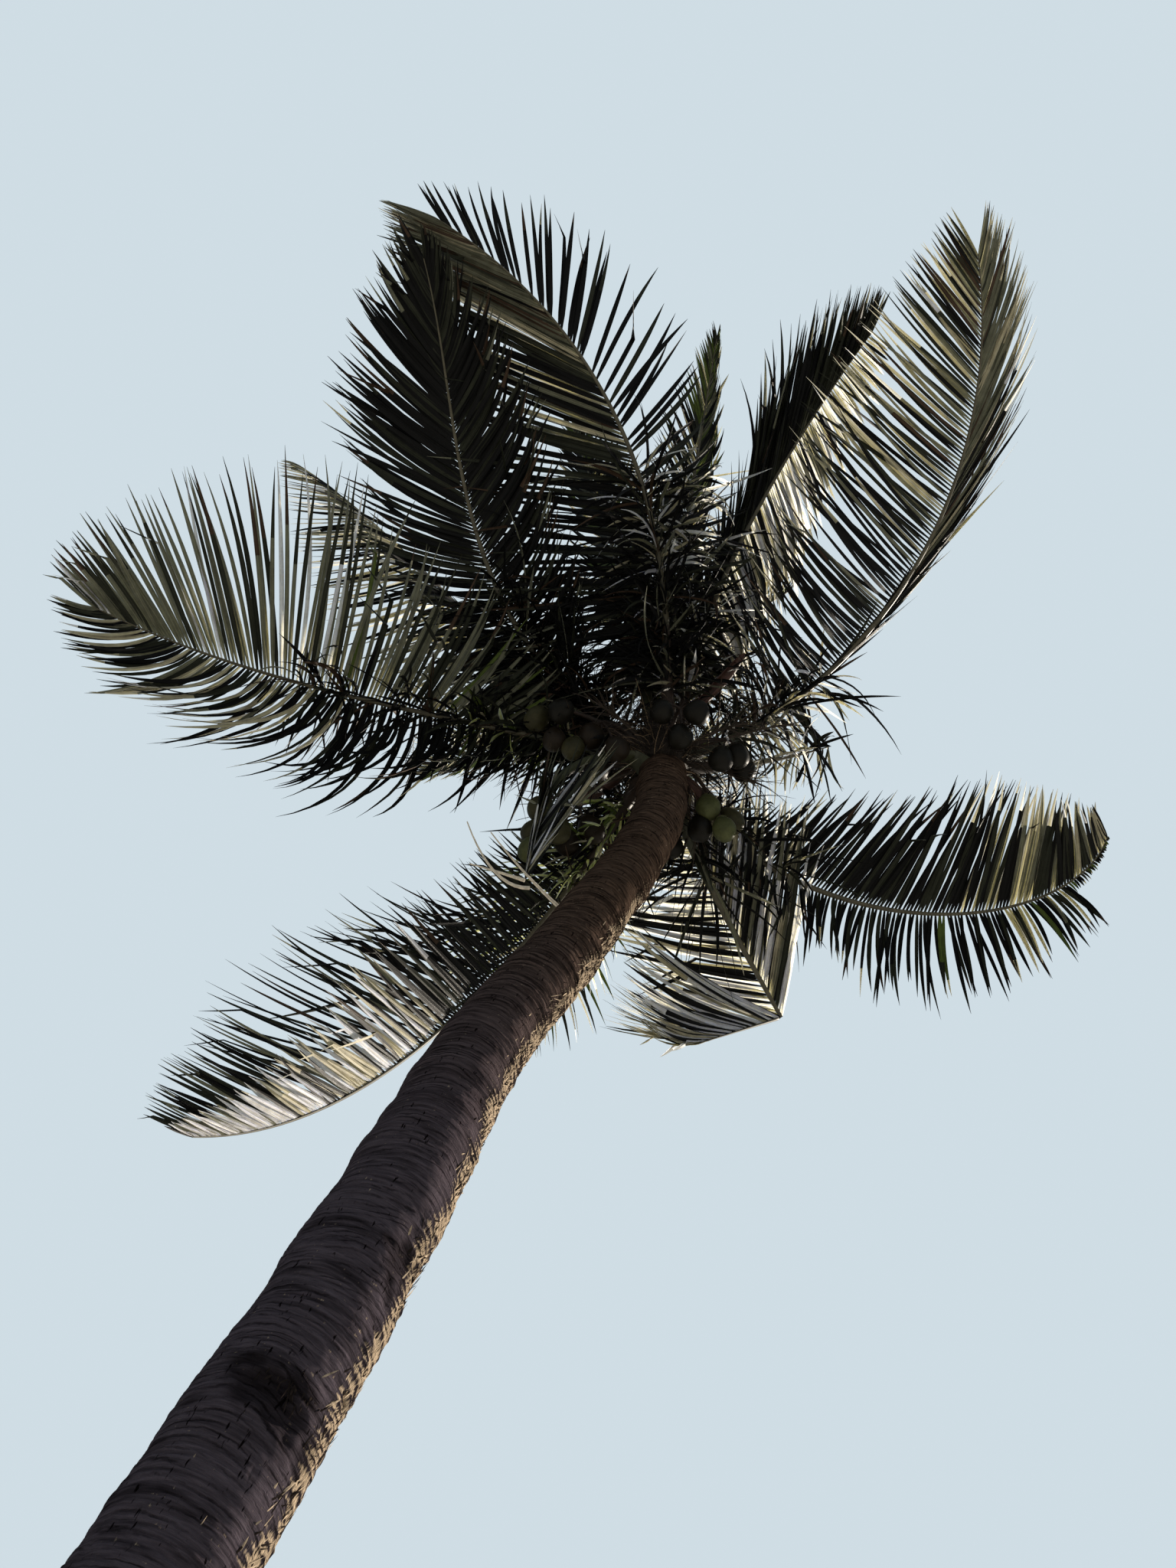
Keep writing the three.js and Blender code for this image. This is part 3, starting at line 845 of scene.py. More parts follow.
# %% Where the leaflets of one row stand
SPACING = 0.037
LEAFY_STALK = 0.60
LEAF_STEPS = 9
SWINGS = (2, 5, 11)
BEND = 1.6
OFF_RIB, ABOVE_RIB = 0.012, 0.008
SHREDDED = 0.25


def leaflet_size(t, first):
    """A leaflet's part of the row's full length, at the part t of the row."""
    towards_foot = first + (1 - first) * np.minimum(1, t / (0.65 - 0.5 * first)) ** 0.8
    return towards_foot * (1 - 0.75 * np.maximum(0, (t - 0.45) / 0.55) ** 1.5)


def waves(t, rng, strength):
    """A slow random swing along a row, so that neighbouring leaflets lean together."""
    swings = [np.sin(2 * math.pi * (n * t + rng.random())) / (1 + k) for k, n in enumerate(SWINGS)]
    return strength * sum(swings)


def row_of_leaflets(frond, line, row, sign, s, t, rng):
    """Middle lines, their directions and lengths, of the leaflets that leave the rib at s."""
    count = len(s)
    ragged = row["ragged"] * (1.25 - t)
    ahead, left, up = rib_frame(frond, s)
    angle = through(row["angle"], t) + waves(t, rng, 1 + 4 * ragged) + rng.normal(0, 0.8 + 4 * ragged)
    lift = row["lift"] + waves(t, rng, 1.5 + 8 * ragged) + rng.normal(0, 1.5 + 9 * ragged)
    angle, lift = np.radians(angle)[:, None], np.radians(lift)[:, None]
    start = np.cos(angle) * ahead + np.sin(angle) * (np.cos(lift) * sign * left + np.sin(lift) * up)
    length = row["length"] * leaflet_size(t, row["first"]) * rng.uniform(0.94 - 0.15 * ragged, 1.05)
    on_stalk = 1 - (bare_stalk(frond) / frond["length"] - s) / LEAFY_STALK * frond["length"]
    length = length * np.clip(on_stalk, 0.45, 1)
    length = np.where(t > row["last"], length * SHREDDED, length)
    blown = rng.uniform(0.6, 1.5, count)[:, None]
    curl = rng.normal(0, 1, (count, 3)) * (0.04 + 0.14 * ragged)[:, None]
    snapped = rng.random(count) < 0.02 + 0.25 * ragged
    snap_at = rng.uniform(0.4, 0.85, count)
    off_rib = (sign * left * OFF_RIB + up * ABOVE_RIB) * (1 - t[:, None])
    places, ways = [at_part(line, s) + off_rib], [start]
    for k in range(LEAF_STEPS):
        part = (k + 0.5) / LEAF_STEPS
        bent = BEND * part ** 1.5 * (row["sag"] * blown * DOWN + row["wind"] * blown * WIND + curl)
        hang = (snapped & (part > snap_at))[:, None]
        way = start + bent
        way = unit(np.where(hang, way * 0.45 + DOWN * 0.8 + WIND * 0.35, way))
        ways.append(way)
        places.append(places[-1] + way * (length / LEAF_STEPS)[:, None])
    return np.stack(places, 1), np.stack(ways, 1), ahead, length


# %% From middle lines to folded strips
LEAF_THICKNESS, LEAF_FOLD, LEAF_TWIST = 0.0022, 0.5, (0.1, 0.35)
TWIST_VARIES = 0.18


def strip_rings(places, ways, ahead, sign, width, rng, thickness, fold, twist):
    """Rings of four points: left edge, ridge, right edge, and the ridge's under side. fold: the
    ridge's rise over half the width. twist: the turn at the foot, and how much it grows."""
    count, steps, _ = places.shape
    part = np.linspace(0, 1, steps)
    across = unit(ahead[:, None] - np.sum(ahead[:, None] * ways, -1, keepdims=True) * ways)
    face = np.cross(across, ways) * sign
    turn = (twist[0] + rng.normal(0, TWIST_VARIES, count))[:, None]
    turn = (turn + (twist[1] * rng.normal(0, 1, count))[:, None] * part)[..., None]
    level, steep = np.cos(turn), np.sin(turn)
    across, face = across * level + face * steep, face * level - across * steep
    grow = 0.45 + 0.55 * np.minimum(1, part / 0.16) ** 0.6
    taper = 1 - np.maximum(0, (part - 0.45) / 0.55) ** 2 * 0.95
    half = (width[:, None] * grow * taper / 2)[..., None]
    thick = thickness * (1 - 0.6 * part)[:, None]
    edge = across * half * sign
    ridge = places + face * half * fold
    return np.stack([places - edge, ridge, places + edge, ridge - face * thick], 2)


def deal(shares_foot, shares_tip, t, rng):
    """Each leaflet's finish number, drawn from shares that change from the row's foot to its tip."""
    foot = np.array([shares_foot.get(name, 0) for name in LEAF_ORDER], float)
    tip = np.array([shares_tip.get(name, 0) for name in LEAF_ORDER], float)
    part = smooth_step(t, 0.2, 0.8)[:, None]
    mixed = foot / foot.sum() * (1 - part) + tip / tip.sum() * part
    return (rng.random(len(t))[:, None] > np.cumsum(mixed, 1)).sum(1).clip(0, len(LEAF_ORDER) - 1)


# %% All leaflets of one frond
LEAF_WIDTH = 0.037
WIDE_FROM = 0.9
FADED = {"straw": 4, "cream": 3, "khaki": 3}
WITHERED = {"brown": 3, "khaki": 2, "olive": 3}


def row_finishes(row, t, rng):
    """Each leaflet's finish, and the dry one that many leaflets change to towards their ends."""
    body = deal(row["foot"], row["tip"], t, rng)
    dry_from = rng.uniform(0.55, 1.6 - 0.4 * row["ragged"], len(t))[:, None]
    dry = deal(*(FADED if "straw" in row[end] else WITHERED for end in ("foot", "tip")), t, rng)
    part = (np.arange(LEAF_STEPS) + 0.5) / LEAF_STEPS
    return np.where(part > dry_from, dry[:, None], body[:, None])


def frond_strips(frond, rng):
    """All leaflets of one frond: their rings and the finish of each piece of each."""
    line, full = rib_line(frond), frond["length"]
    first = bare_stalk(frond) / full
    grown = frond.get("grown", full) / full
    rings, finishes = [], []
    for name, sign in (("left", 1), ("right", -1)):
        start = first - (LEAFY_STALK / full if full > 2 else 0)
        count = int((1 - start) * full / frond.get("spacing", SPACING))
        s = start + (1 - start) * (np.arange(count) + 0.5 + rng.uniform(-0.15, 0.15, count)) / count
        t = np.clip((s - first) / (grown - first), 0, 1)
        past = s > frond["fold"]["at"] if "fold" in frond else np.zeros(count, bool)
        kept = rng.random(count) < frond[name]["kept"]
        for row, chosen in ((frond[name], kept & ~past), (frond.get("fold", frond)[name], kept & past)):
            if not chosen.any():
                continue
            part = t[chosen]
            places, ways, ahead, length = row_of_leaflets(frond, line, row, sign, s[chosen], part, rng)
            width = LEAF_WIDTH * frond.get("broad", 1) * (0.55 + 0.45 * np.minimum(1, length / WIDE_FROM))
            width = width * rng.uniform(0.85, 1.1, len(length))
            rings.append(strip_rings(
                places, ways, ahead, sign, width, rng, LEAF_THICKNESS, LEAF_FOLD, LEAF_TWIST))
            finishes.append(row_finishes(row, part, rng))
    return np.concatenate(rings), np.concatenate(finishes)


# %% Grow the leaflets of every frond
FIRST_SEED = 100

node_names = set(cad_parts)
for number, (name, frond) in enumerate(FRONDS.items()):
    rings, finishes = frond_strips(frond, np.random.default_rng(FIRST_SEED + number))
    piece = rings_to_piece(name + "_leaflets", rings, finishes, 25)
    halves = [n for n in (name, name + "_base", name + "_tip") if n in node_names]
    finish_piece(piece, leaf_finishes.values(), halves)
    print(name, len(rings), "leaflets,", len(rings) * (LEAF_STEPS * 8 + 4), "triangles")

# %% [markdown]
# ## Stalks and ribs
# The stalk is broad and flat where it clasps the heart, and rounds off to a stiff rib. It could be
# a curve with a bevel, but its section changes from a clasping sheath to a narrow keel, so it is
# lofted: rings of ten points, whose width and depth follow the length.

# %% Stalks and ribs
STALK_SIDES = 10
SHEATH, SHEATH_STEPS = 0.13, 6
FOOT_NARROWS = 0.3
STALK_WIDTHS = (0.20, 0.125, 0.078, 0.050, 0.007)
STALK_DEPTHS = (0.035, 0.050, 0.046, 0.036, 0.006)
KEEL, FLAT_TOP = 1.25, 0.75

stalk_green = noisy_finish("stalk_green", (0.036, 0.039, 0.018), 0.4, 14, 0.3, 0.002, (0.4, 0.6))
stalk_brown = noisy_finish("stalk_brown", (0.029, 0.017, 0.012), 0.5, 14, 0.4, 0.003, (0.5, 0.8))
rib_pale = noisy_finish("rib_pale", (0.085, 0.074, 0.045), 0.4, 20, 0.2, 0.001, (0.4, 0.6))


def around_once(sides):
    return np.arange(sides) * 2 * math.pi / sides


def rib_rings(frond):
    """The sheath that clasps the heart, the stalk and the rib, as rings round one line."""
    line, full = rib_line(frond), frond["length"]
    ahead, left, up = rib_frame(frond, np.linspace(0, 1, RIB_STEPS + 1))
    inward = unit(CROWN + (0, 0, frond["foot"] - 0.12) - line[0])
    back = np.linspace(1, 0, SHEATH_STEPS, endpoint=False)[:, None]
    root = line[0] + inward * back * SHEATH - ahead[0] * 0.02 * back + DOWN * 0.05 * back ** 2
    places = np.vstack([root, line])
    left, up = [np.vstack([np.repeat(v[:1], SHEATH_STEPS, 0), v]) for v in (left, up)]
    arc = np.concatenate([-SHEATH * back[:, 0], np.linspace(0, full, RIB_STEPS + 1)])
    marks = (-SHEATH, 0, FOOT_NARROWS, bare_stalk(frond), full)
    width, depth = (np.interp(arc, marks, sizes) / 2 for sizes in (STALK_WIDTHS, STALK_DEPTHS))
    turn = around_once(STALK_SIDES)
    keel = np.where(np.sin(turn) < 0, KEEL, FLAT_TOP)
    flat = left[:, None] * (width[:, None] * np.cos(turn))[..., None]
    deep = up[:, None] * (depth[:, None] * np.sin(turn) * keel)[..., None]
    return places[:, None] + flat + deep, arc


for number, (name, frond) in enumerate(FRONDS.items()):
    rings, arc = rib_rings(frond)
    middle = (arc[:-1] + arc[1:]) / 2
    finish_numbers = np.where(middle > bare_stalk(frond) * 0.9, 1, 0)[None]
    piece = rings_to_piece(name + "_rib", rings[None], finish_numbers, 40)
    finish_piece(piece, [(stalk_green, stalk_brown)[number % 2], rib_pale])
print("stalks and ribs done")

# %% [markdown]
# ## The heart of the crown
# The feet of all leaves clasp the top of the trunk, with brown woven fibre between them. A plain
# dome would look like a knob, so a sphere is drawn out and roughened, and loose fibre strands hang
# from it. The strands are tubes of a few faces along curves that start on the heart and droop.

# %% The heart
def new_ball(segments, rings):
    deselect()
    bpy.ops.mesh.primitive_uv_sphere_add(segments=segments, ring_count=rings, radius=1, location=(0, 0, 0))
    return bpy.context.object, points_of(bpy.context.object)


HEART_UP, HEART_DOWN = 0.50, 0.14

heart, ball = new_ball(64, 48)
heart.name = "crown_heart_fibre"
heart_rng = np.random.default_rng(5)
turned = np.arctan2(ball[:, 1], ball[:, 0]) % (2 * math.pi)
rough = 1 + 0.12 * patches(turned, ball[:, 2] + 1, 16, 0.5, heart_rng)
rough += 0.08 * patches(turned, ball[:, 2] + 1, 48, 0.2, heart_rng)
height = np.where(ball[:, 2] > 0, ball[:, 2] * HEART_UP, ball[:, 2] * HEART_DOWN)
out = (HEART_RADIUS * 0.95 * rough)[:, None] * ball[:, :2]
move_points(heart, CROWN + np.column_stack([out, height - 0.01]))
fibre = noisy_finish("crown_fibre", (0.024, 0.016, 0.011), 0.6, (60, 60, 18), 1.0, 0.006, (0.8, 1.0))
finish_piece(heart, [fibre], ["crown_heart"])

# %% Curves that start somewhere, set out one way and droop
def drooping(starts, ways, lengths, pull, steps, rng, wander):
    """Places along each curve: strands x (steps + 1) x 3. pull: how strongly weight bends them."""
    places, way = [starts], unit(ways)
    swerve = rng.normal(0, wander, starts.shape)
    for k in range(steps):
        part = (k + 0.5) / steps
        bent = unit(way + pull[:, None] * part * (DOWN + 0.25 * WIND) + swerve * part)
        places.append(places[-1] + bent * (lengths / steps)[:, None])
    return np.stack(places, 1)


def tube_rings(places, radii, sides):
    """Rings round each curve. radii: strands x points."""
    ways = unit(np.gradient(places, axis=1))
    first = unit(np.cross(ways, np.array([0.31, 0.17, 0.94])))
    second = np.cross(ways, first)
    turn = around_once(sides)
    across = first[:, :, None] * np.cos(turn)[:, None] + second[:, :, None] * np.sin(turn)[:, None]
    return places[:, :, None] + across * radii[..., None, None]


# %% Fibre strands round the heart
STRANDS, STRAND_STEPS = 900, 6
STRAND_RADIUS = 0.0026

strand_rng = np.random.default_rng(21)
heading = strand_rng.uniform(0, 2 * math.pi, STRANDS)
height = strand_rng.uniform(-0.12, 0.40, STRANDS)
radius = np.array([heart_radius(h) for h in height]) * 0.9
ways = np.column_stack([np.cos(heading), np.sin(heading), np.zeros(STRANDS)])
starts = CROWN + ways * radius[:, None] - height[:, None] * DOWN
ways = ways + strand_rng.normal(0, 0.5, ways.shape) + (0, 0, 0.25)
lengths = strand_rng.uniform(0.12, 0.50, STRANDS)
pull = strand_rng.uniform(0.5, 3.0, STRANDS)
curves = drooping(starts, ways, lengths, pull, STRAND_STEPS, strand_rng, 0.5)
thickness = strand_rng.uniform(0.5, 1.5, STRANDS)[:, None]
radii = STRAND_RADIUS * np.linspace(1, 0.3, STRAND_STEPS + 1) * thickness
strand_finish = (strand_rng.random(STRANDS) < 0.2).astype(int)[:, None]
strands = rings_to_piece("crown_strands", tube_rings(curves, radii, 3), strand_finish, 60)
fibre_pale = noisy_finish("crown_fibre_pale", (0.26, 0.18, 0.11), 0.4, 60, 0.4, 0.001, (0.7, 0.9))
finish_piece(strands, [fibre, fibre_pale])
print(STRANDS, "fibre strands")

# %% [markdown]
# ## Nuts
# The nuts hang in bunches on thick stalks, just under the leaf feet. A nut's husk is a blunt
# three-sided egg, and its foot sits in a cap of small scales. It is modelled once: a sphere is
# drawn out, its sides are pressed flat, and the faces round its foot are raised as the cap. Each
# hanging nut is then a copy with its own mesh, size and turn.

# %% One nut
NUT_LENGTH, NUT_WIDTH = 0.205, 0.172
CAP_FROM, CAP_RISE = 0.40, 0.007


nut, ball = new_ball(24, 16)
turned = np.arctan2(ball[:, 1], ball[:, 0])
pressed = 1 + 0.055 * np.cos(3 * turned) * (1 - ball[:, 2] ** 2)
blunt = 1 - 0.10 * ball[:, 2]
ball[:, :2] *= (pressed * blunt)[:, None] * NUT_WIDTH / 2
ball[:, 2] = ball[:, 2] * NUT_LENGTH / 2
move_points(nut, ball)
bpy.ops.object.mode_set(mode="EDIT")
bpy.ops.mesh.select_all(action="DESELECT")
bpy.ops.object.mode_set(mode="OBJECT")
for face in nut.data.polygons:
    face.select = face.center.z > CAP_FROM * NUT_LENGTH
bpy.context.tool_settings.mesh_select_mode = (False, False, True)
bpy.ops.object.mode_set(mode="EDIT")
bpy.ops.mesh.extrude_region_shrink_fatten(TRANSFORM_OT_shrink_fatten={"value": CAP_RISE})
bpy.ops.object.mode_set(mode="OBJECT")
nut_points = points_of(nut)
nut_faces = [(tuple(face.vertices), int(face.select)) for face in nut.data.polygons]
bpy.data.objects.remove(nut)
print("nut", len(nut_faces), "faces")

# %% The bunches
# Each bunch: how its nuts are coloured, where its stalk forks, off the crown's middle, and where
# the middle of each nut hangs. The colours are the shares of green, olive, brown and dark nuts.
# The near-black dark nuts are painted shade: the bunches that hang in the crown's shade are dealt
# mostly dark and brown nuts, and the lighter green ones go to the bunches that the light reaches.
RIPE, OLD_AND_SHADED = (0.45, 0.30, 0.15, 0.10), (0.0, 0.05, 0.25, 0.70)
BUNCHES = [
    (RIPE, (0.30, 0.16, -0.10),
     [(0.31, 0.17, -0.30), (0.25, 0.25, -0.43), (0.41, 0.22, -0.47), (0.48, 0.30, -0.30)]),
    (RIPE, (-0.66, 0.06, -0.28),
     [(-0.84, 0.05, -0.45), (-0.88, 0.10, -0.63), (-0.90, 0.10, -0.80),
      (-0.50, 0.20, -0.50), (-0.66, 0.22, -0.60), (-0.72, 0.00, -0.72)]),
    (OLD_AND_SHADED, (0.12, -0.36, 0.12),
     [(0.21, -0.46, -0.05), (-0.02, -0.46, -0.04), (0.10, -0.34, -0.16)]),
    (OLD_AND_SHADED, (-0.42, -0.24, 0.14),
     [(-0.33, -0.30, -0.24), (-0.50, -0.25, -0.04), (-0.46, -0.12, -0.22), (-0.62, -0.24, -0.16)]),
    (OLD_AND_SHADED, (-0.68, -0.28, 0.22),
     [(-0.75, -0.27, -0.10), (-0.87, -0.30, 0.10), (-0.70, -0.42, 0.02)]),
    (OLD_AND_SHADED, (-0.10, 0.46, 0.02),
     [(-0.08, 0.52, -0.18), (-0.26, 0.46, -0.22), (-0.16, 0.38, -0.34), (0.06, 0.48, -0.36)]),
    (OLD_AND_SHADED, (0.46, -0.10, 0.10),
     [(0.50, -0.16, -0.14), (0.38, -0.20, -0.22), (0.56, 0.02, -0.06)]),
]
NUT_COLOURS = {
    "nut_green": (0.068, 0.074, 0.030),
    "nut_olive": (0.036, 0.033, 0.015),
    "nut_brown": (0.016, 0.011, 0.007),
    "nut_dark": (0.007, 0.006, 0.004),
}
HUSK_NUMBERS = (0, 2, 3, 4)
NUT_GLOSS = 0.15
NUT_WEIGHT = 0.15
BOW_STEPS = 10


def turned_to(axis, spin):
    """Rows of a turn that takes +Z to an axis, after a spin about +Z."""
    z = unit(np.asarray(axis, float))
    x = unit(np.cross(z, (0.3, 0.9, 0.1)))
    y = np.cross(z, x)
    return np.stack([x * math.cos(spin) + y * math.sin(spin), y * math.cos(spin) - x * math.sin(spin), z])


def copies_to_piece(name, points, faces, turns, places, finish_of_copy):
    """Copies of one small shape, joined. faces: their corners and 1 for a face of the second finish,
    which goes before its copy's own."""
    corners, finish_numbers, all_points = [], [], []
    for turn, place, base in zip(turns, places, finish_of_copy):
        offset = len(all_points) * len(points)
        all_points.append(points @ turn + place)
        corners += [tuple(v + offset for v in face) for face, _ in faces]
        finish_numbers += [second or base for _, second in faces]
    mesh = bpy.data.meshes.new(name)
    mesh.from_pydata(np.concatenate(all_points).tolist(), [], corners)
    mesh.polygons.foreach_set("material_index", finish_numbers)
    return new_piece(name, mesh, 35)


def bowed(start, middle, end):
    part = np.linspace(0, 1, BOW_STEPS + 1)[:, None]
    return start * (1 - part) ** 2 + 2 * middle * part * (1 - part) + end * part ** 2


def tapering(thick, thin):
    return np.linspace(thick, thin, BOW_STEPS + 1)


nut_rng = np.random.default_rng(31)
feet, turns, colours, stalk_curves, stalk_radii = [], [], [], [], []
for shares, fork, hanging in BUNCHES:
    fork = CROWN + fork
    out = unit((fork - CROWN) * (1, 1, 0))
    root = CROWN + out * 0.12 + (0, 0, 0.02)
    stalk_curves.append(bowed(root, (root + fork) / 2 + (0, 0, 0.16), fork))
    stalk_radii.append(tapering(0.022, 0.013))
    for foot in hanging:
        foot = CROWN + foot
        axis = unit(foot - fork + NUT_WEIGHT * DOWN + nut_rng.normal(0, 0.05, 3))
        spin = nut_rng.uniform(0, 6.28)
        turns.append(turned_to(-axis, spin) * nut_rng.uniform(0.90, 1.06))
        feet.append(foot)
        colours.append(int(nut_rng.choice(HUSK_NUMBERS, p=shares)))
        top = foot - axis * NUT_LENGTH * 0.48
        stalk_curves.append(bowed(fork, (fork + top) / 2 + (0, 0, 0.05), top))
        stalk_radii.append(tapering(0.010, 0.007))
nuts = copies_to_piece("nuts", nut_points, nut_faces, turns, feet, colours)
husks = []
for name, colour in NUT_COLOURS.items():
    husks.append(noisy_finish(name, colour, 0.35, 16, 0.25, 0.002, (0.35, 0.6)))
    set_gloss(husks[-1], NUT_GLOSS)
cap = noisy_finish("nut_cap", (0.040, 0.028, 0.018), 0.5, 50, 0.6, 0.002, (0.7, 0.9))
finish_piece(nuts, [husks[0], cap, *husks[1:]])
rings = tube_rings(np.stack(stalk_curves), np.stack(stalk_radii), 8)
finish_piece(rings_to_piece("nut_stalks", rings, 0, 50), [stalk_brown])
print(len(feet), "nuts")

# %% [markdown]
# ## Flower stalks and spathes
# Between the nuts stand old flower stalks, brooms of thin dry twigs, and the woody boats that they
# grew out of. The twigs are drooping tubes. A spathe is made from a sphere: it is squeezed to a
# long boat, cut open along its upper side with bisect, and given a wall with Solidify.

# %% Flower stalks
BROOMS = [((-0.75, 0.10, -0.42), 30), ((0.62, 0.05, -0.18), 34), ((0.25, 0.45, -0.28), 26),
          ((-0.45, -0.42, 0.10), 26), ((0.55, -0.25, 0.10), 24), ((-0.25, 0.60, -0.10), 26),
          ((0.95, -0.10, 0.30), 24)]
TWIG_RADIUS = 0.0042

twig_rng = np.random.default_rng(41)
starts, ways, lengths, main_curves = [], [], [], []
for place, twigs in BROOMS:
    end = CROWN + place
    out = unit(end - CROWN)
    root = CROWN + out * 0.12
    main_curves.append(bowed(root, (root + end) / 2 + (0, 0, 0.10), end))
    starts.append(at_part(main_curves[-1], twig_rng.uniform(0.45, 1, twigs)))
    ways.append(out + twig_rng.normal(0, 0.55, (twigs, 3)))
    lengths.append(twig_rng.uniform(0.16, 0.36, twigs))
starts, ways, lengths = np.concatenate(starts), np.concatenate(ways), np.concatenate(lengths)
pull = twig_rng.uniform(-0.3, 1.2, len(starts))
twigs = drooping(starts, ways, lengths, pull, BOW_STEPS, twig_rng, 0.35)
twig_radii = TWIG_RADIUS * tapering(1, 0.35) * twig_rng.uniform(0.7, 1.2, len(starts))[:, None]
main_radii = np.tile(tapering(0.014, 0.007), (len(BROOMS), 1))
rings = tube_rings(np.concatenate([twigs, main_curves]), np.concatenate([twig_radii, main_radii]), 5)
brooms = rings_to_piece("flower_stalks", rings, 0, 60)
twig_dry = noisy_finish("twig_dry", (0.042, 0.029, 0.020), 0.5, 30, 0.5, 0.001, (0.7, 0.9))
finish_piece(brooms, [twig_dry])
print(len(BROOMS), "flower stalks")

# %% Spathes
SPATHE_LENGTH, SPATHE_WIDTH, SPATHE_WALL = 0.62, 0.085, 0.004
SPATHE_BEND, SPATHE_CUT = 0.16, 0.022
SPATHES = [((0.20, -0.16, 0.30), (0.62, -0.52, 0.58)), ((-0.18, 0.10, 0.05), (-0.75, 0.45, -0.10)),
           ((0.16, 0.12, 0.0), (0.60, 0.62, -0.20)), ((-0.10, 0.16, 0.05), (-0.50, 0.70, -0.05))]

spathe, ball = new_ball(20, 22)
part = (ball[:, 2] + 1) / 2
across = ball[:, :2] * (SPATHE_WIDTH / 2, SPATHE_WIDTH * 0.45)
ball = np.column_stack([across, part * SPATHE_LENGTH])
ball[:, 1] += SPATHE_BEND * (part - 0.5) ** 2
move_points(spathe, ball)
bpy.context.tool_settings.mesh_select_mode = (False, False, True)
bpy.ops.object.mode_set(mode="EDIT")
bpy.ops.mesh.select_all(action="SELECT")
bpy.ops.mesh.bisect(plane_co=(0, SPATHE_CUT, 0), plane_no=(0, 1, 0), clear_outer=True)
bpy.ops.object.mode_set(mode="OBJECT")
wall = spathe.modifiers.new("wall", "SOLIDIFY")
wall.thickness = SPATHE_WALL
bpy.ops.object.modifier_apply(modifier=wall.name)
spathe_points = points_of(spathe)
spathe_faces = [(tuple(face.vertices), 0) for face in spathe.data.polygons]
bpy.data.objects.remove(spathe)
spathe_turns = [turned_to(np.subtract(end, start), k * 1.7) for k, (start, end) in enumerate(SPATHES)]
spathe_feet = [CROWN + start for start, _ in SPATHES]
spathes = copies_to_piece(
    "spathes", spathe_points, spathe_faces, spathe_turns, spathe_feet, [0] * len(SPATHES))
spathe_red = noisy_finish("spathe_red", (0.075, 0.032, 0.024), 0.4, (10, 10, 40), 0.5, 0.002, (0.45, 0.7))
finish_piece(spathes, [spathe_red])
print(len(SPATHES), "spathes")

# %% [markdown]
# ## Dry leaflets that hang in the crown
# Dead leaflets break off and catch between the stalks, or hang on and curl. They are the same
# folded strips as the living ones, but they start anywhere on a stalk or rib, droop, and twist.
# Most of those round the heart are near black: painted shade, a dark curtain that darkens the heart
# of the crown.

# %% Dry leaflets
LOOSE_STEPS = 8
LOOSE_THICKNESS, LOOSE_TWIST = 0.0018, (0.3, 1.4)
# Near-black strips with a few dead brown ones: painted shade for the heart of the crown.
DEAD_AND_SHADE = {"deep": 14, "olive": 3, "brown": 2, "khaki": 1}
CURLED = {"deep": 1, "khaki": 1, "straw": 4, "cream": 8}
FRINGE = {"deep": 4, "olive": 2, "green": 2, "lime": 2, "straw": 1}

# Each row: the frond, from where to where on it, how many strips, their colours and longest length.
LOOSE = [(name, 0.04, 0.28, 60, DEAD_AND_SHADE, 0.95) for name, frond in FRONDS.items() if frond["length"] > 2]
LOOSE += [
    ("frond_top", 0.06, 0.45, 220, DEAD_AND_SHADE, 1.10), ("frond_upper_left", 0.06, 0.42, 180, DEAD_AND_SHADE, 1.10),
    ("frond_inner_left", 0.05, 0.55, 200, DEAD_AND_SHADE, 1.00), ("frond_top_small", 0.08, 0.50, 110, DEAD_AND_SHADE, 0.90),
    ("frond_left_back", 0.05, 0.30, 120, DEAD_AND_SHADE, 0.90), ("frond_back_left", 0.04, 0.40, 120, DEAD_AND_SHADE, 1.00),
    ("frond_top_small", 0.20, 0.68, 130, CURLED, 0.80), ("frond_top_right", 0.04, 0.30, 60, CURLED, 0.70),
    ("frond_top", 0.28, 0.48, 50, CURLED, 0.70), ("frond_right_tall", 0.10, 0.28, 50, CURLED, 0.60),
    ("frond_left", 0.08, 0.34, 90, FRINGE, 0.55), ("frond_left", 0.22, 0.62, 150, DEAD_AND_SHADE, 0.75),
    ("frond_left_low", 0.03, 0.22, 110, BRIGHT, 0.60), ("frond_broken", 0.10, 1.00, 30, BARRED, 0.50),
]


def loose_strips(frond, s, longest, rng):
    count = len(s)
    ahead, left, _ = rib_frame(frond, s)
    ways = left * rng.choice([-1, 1], count)[:, None] + 0.5 * ahead + rng.normal(0, 0.6, (count, 3))
    lengths = longest * rng.uniform(0.35, 1, count)
    pull, width = rng.uniform(0.6, 3.0, count), rng.uniform(0.014, 0.032, count)
    places = drooping(at_part(rib_line(frond), s), ways, lengths, pull, LOOSE_STEPS, rng, 0.4)
    run = unit(np.gradient(places, axis=1))
    flat = unit(np.cross(run[:, 0], rng.normal(0, 1, (count, 3))))
    return strip_rings(places, run, flat, 1, width, rng, LOOSE_THICKNESS, LEAF_FOLD, LOOSE_TWIST)


dry_rng = np.random.default_rng(51)
rings, finishes = [], []
for name, low, high, count, shares, longest in LOOSE:
    s = dry_rng.uniform(low, high, count)
    rings.append(loose_strips(FRONDS[name], s, longest, dry_rng))
    finishes.append(deal(shares, shares, s, dry_rng)[:, None])
dry_and_shade_strips = rings_to_piece("dry_and_shade_strips", np.concatenate(rings), np.concatenate(finishes), 25)
finish_piece(dry_and_shade_strips, leaf_finishes.values())
print(sum(map(len, rings)), "dry leaflets")

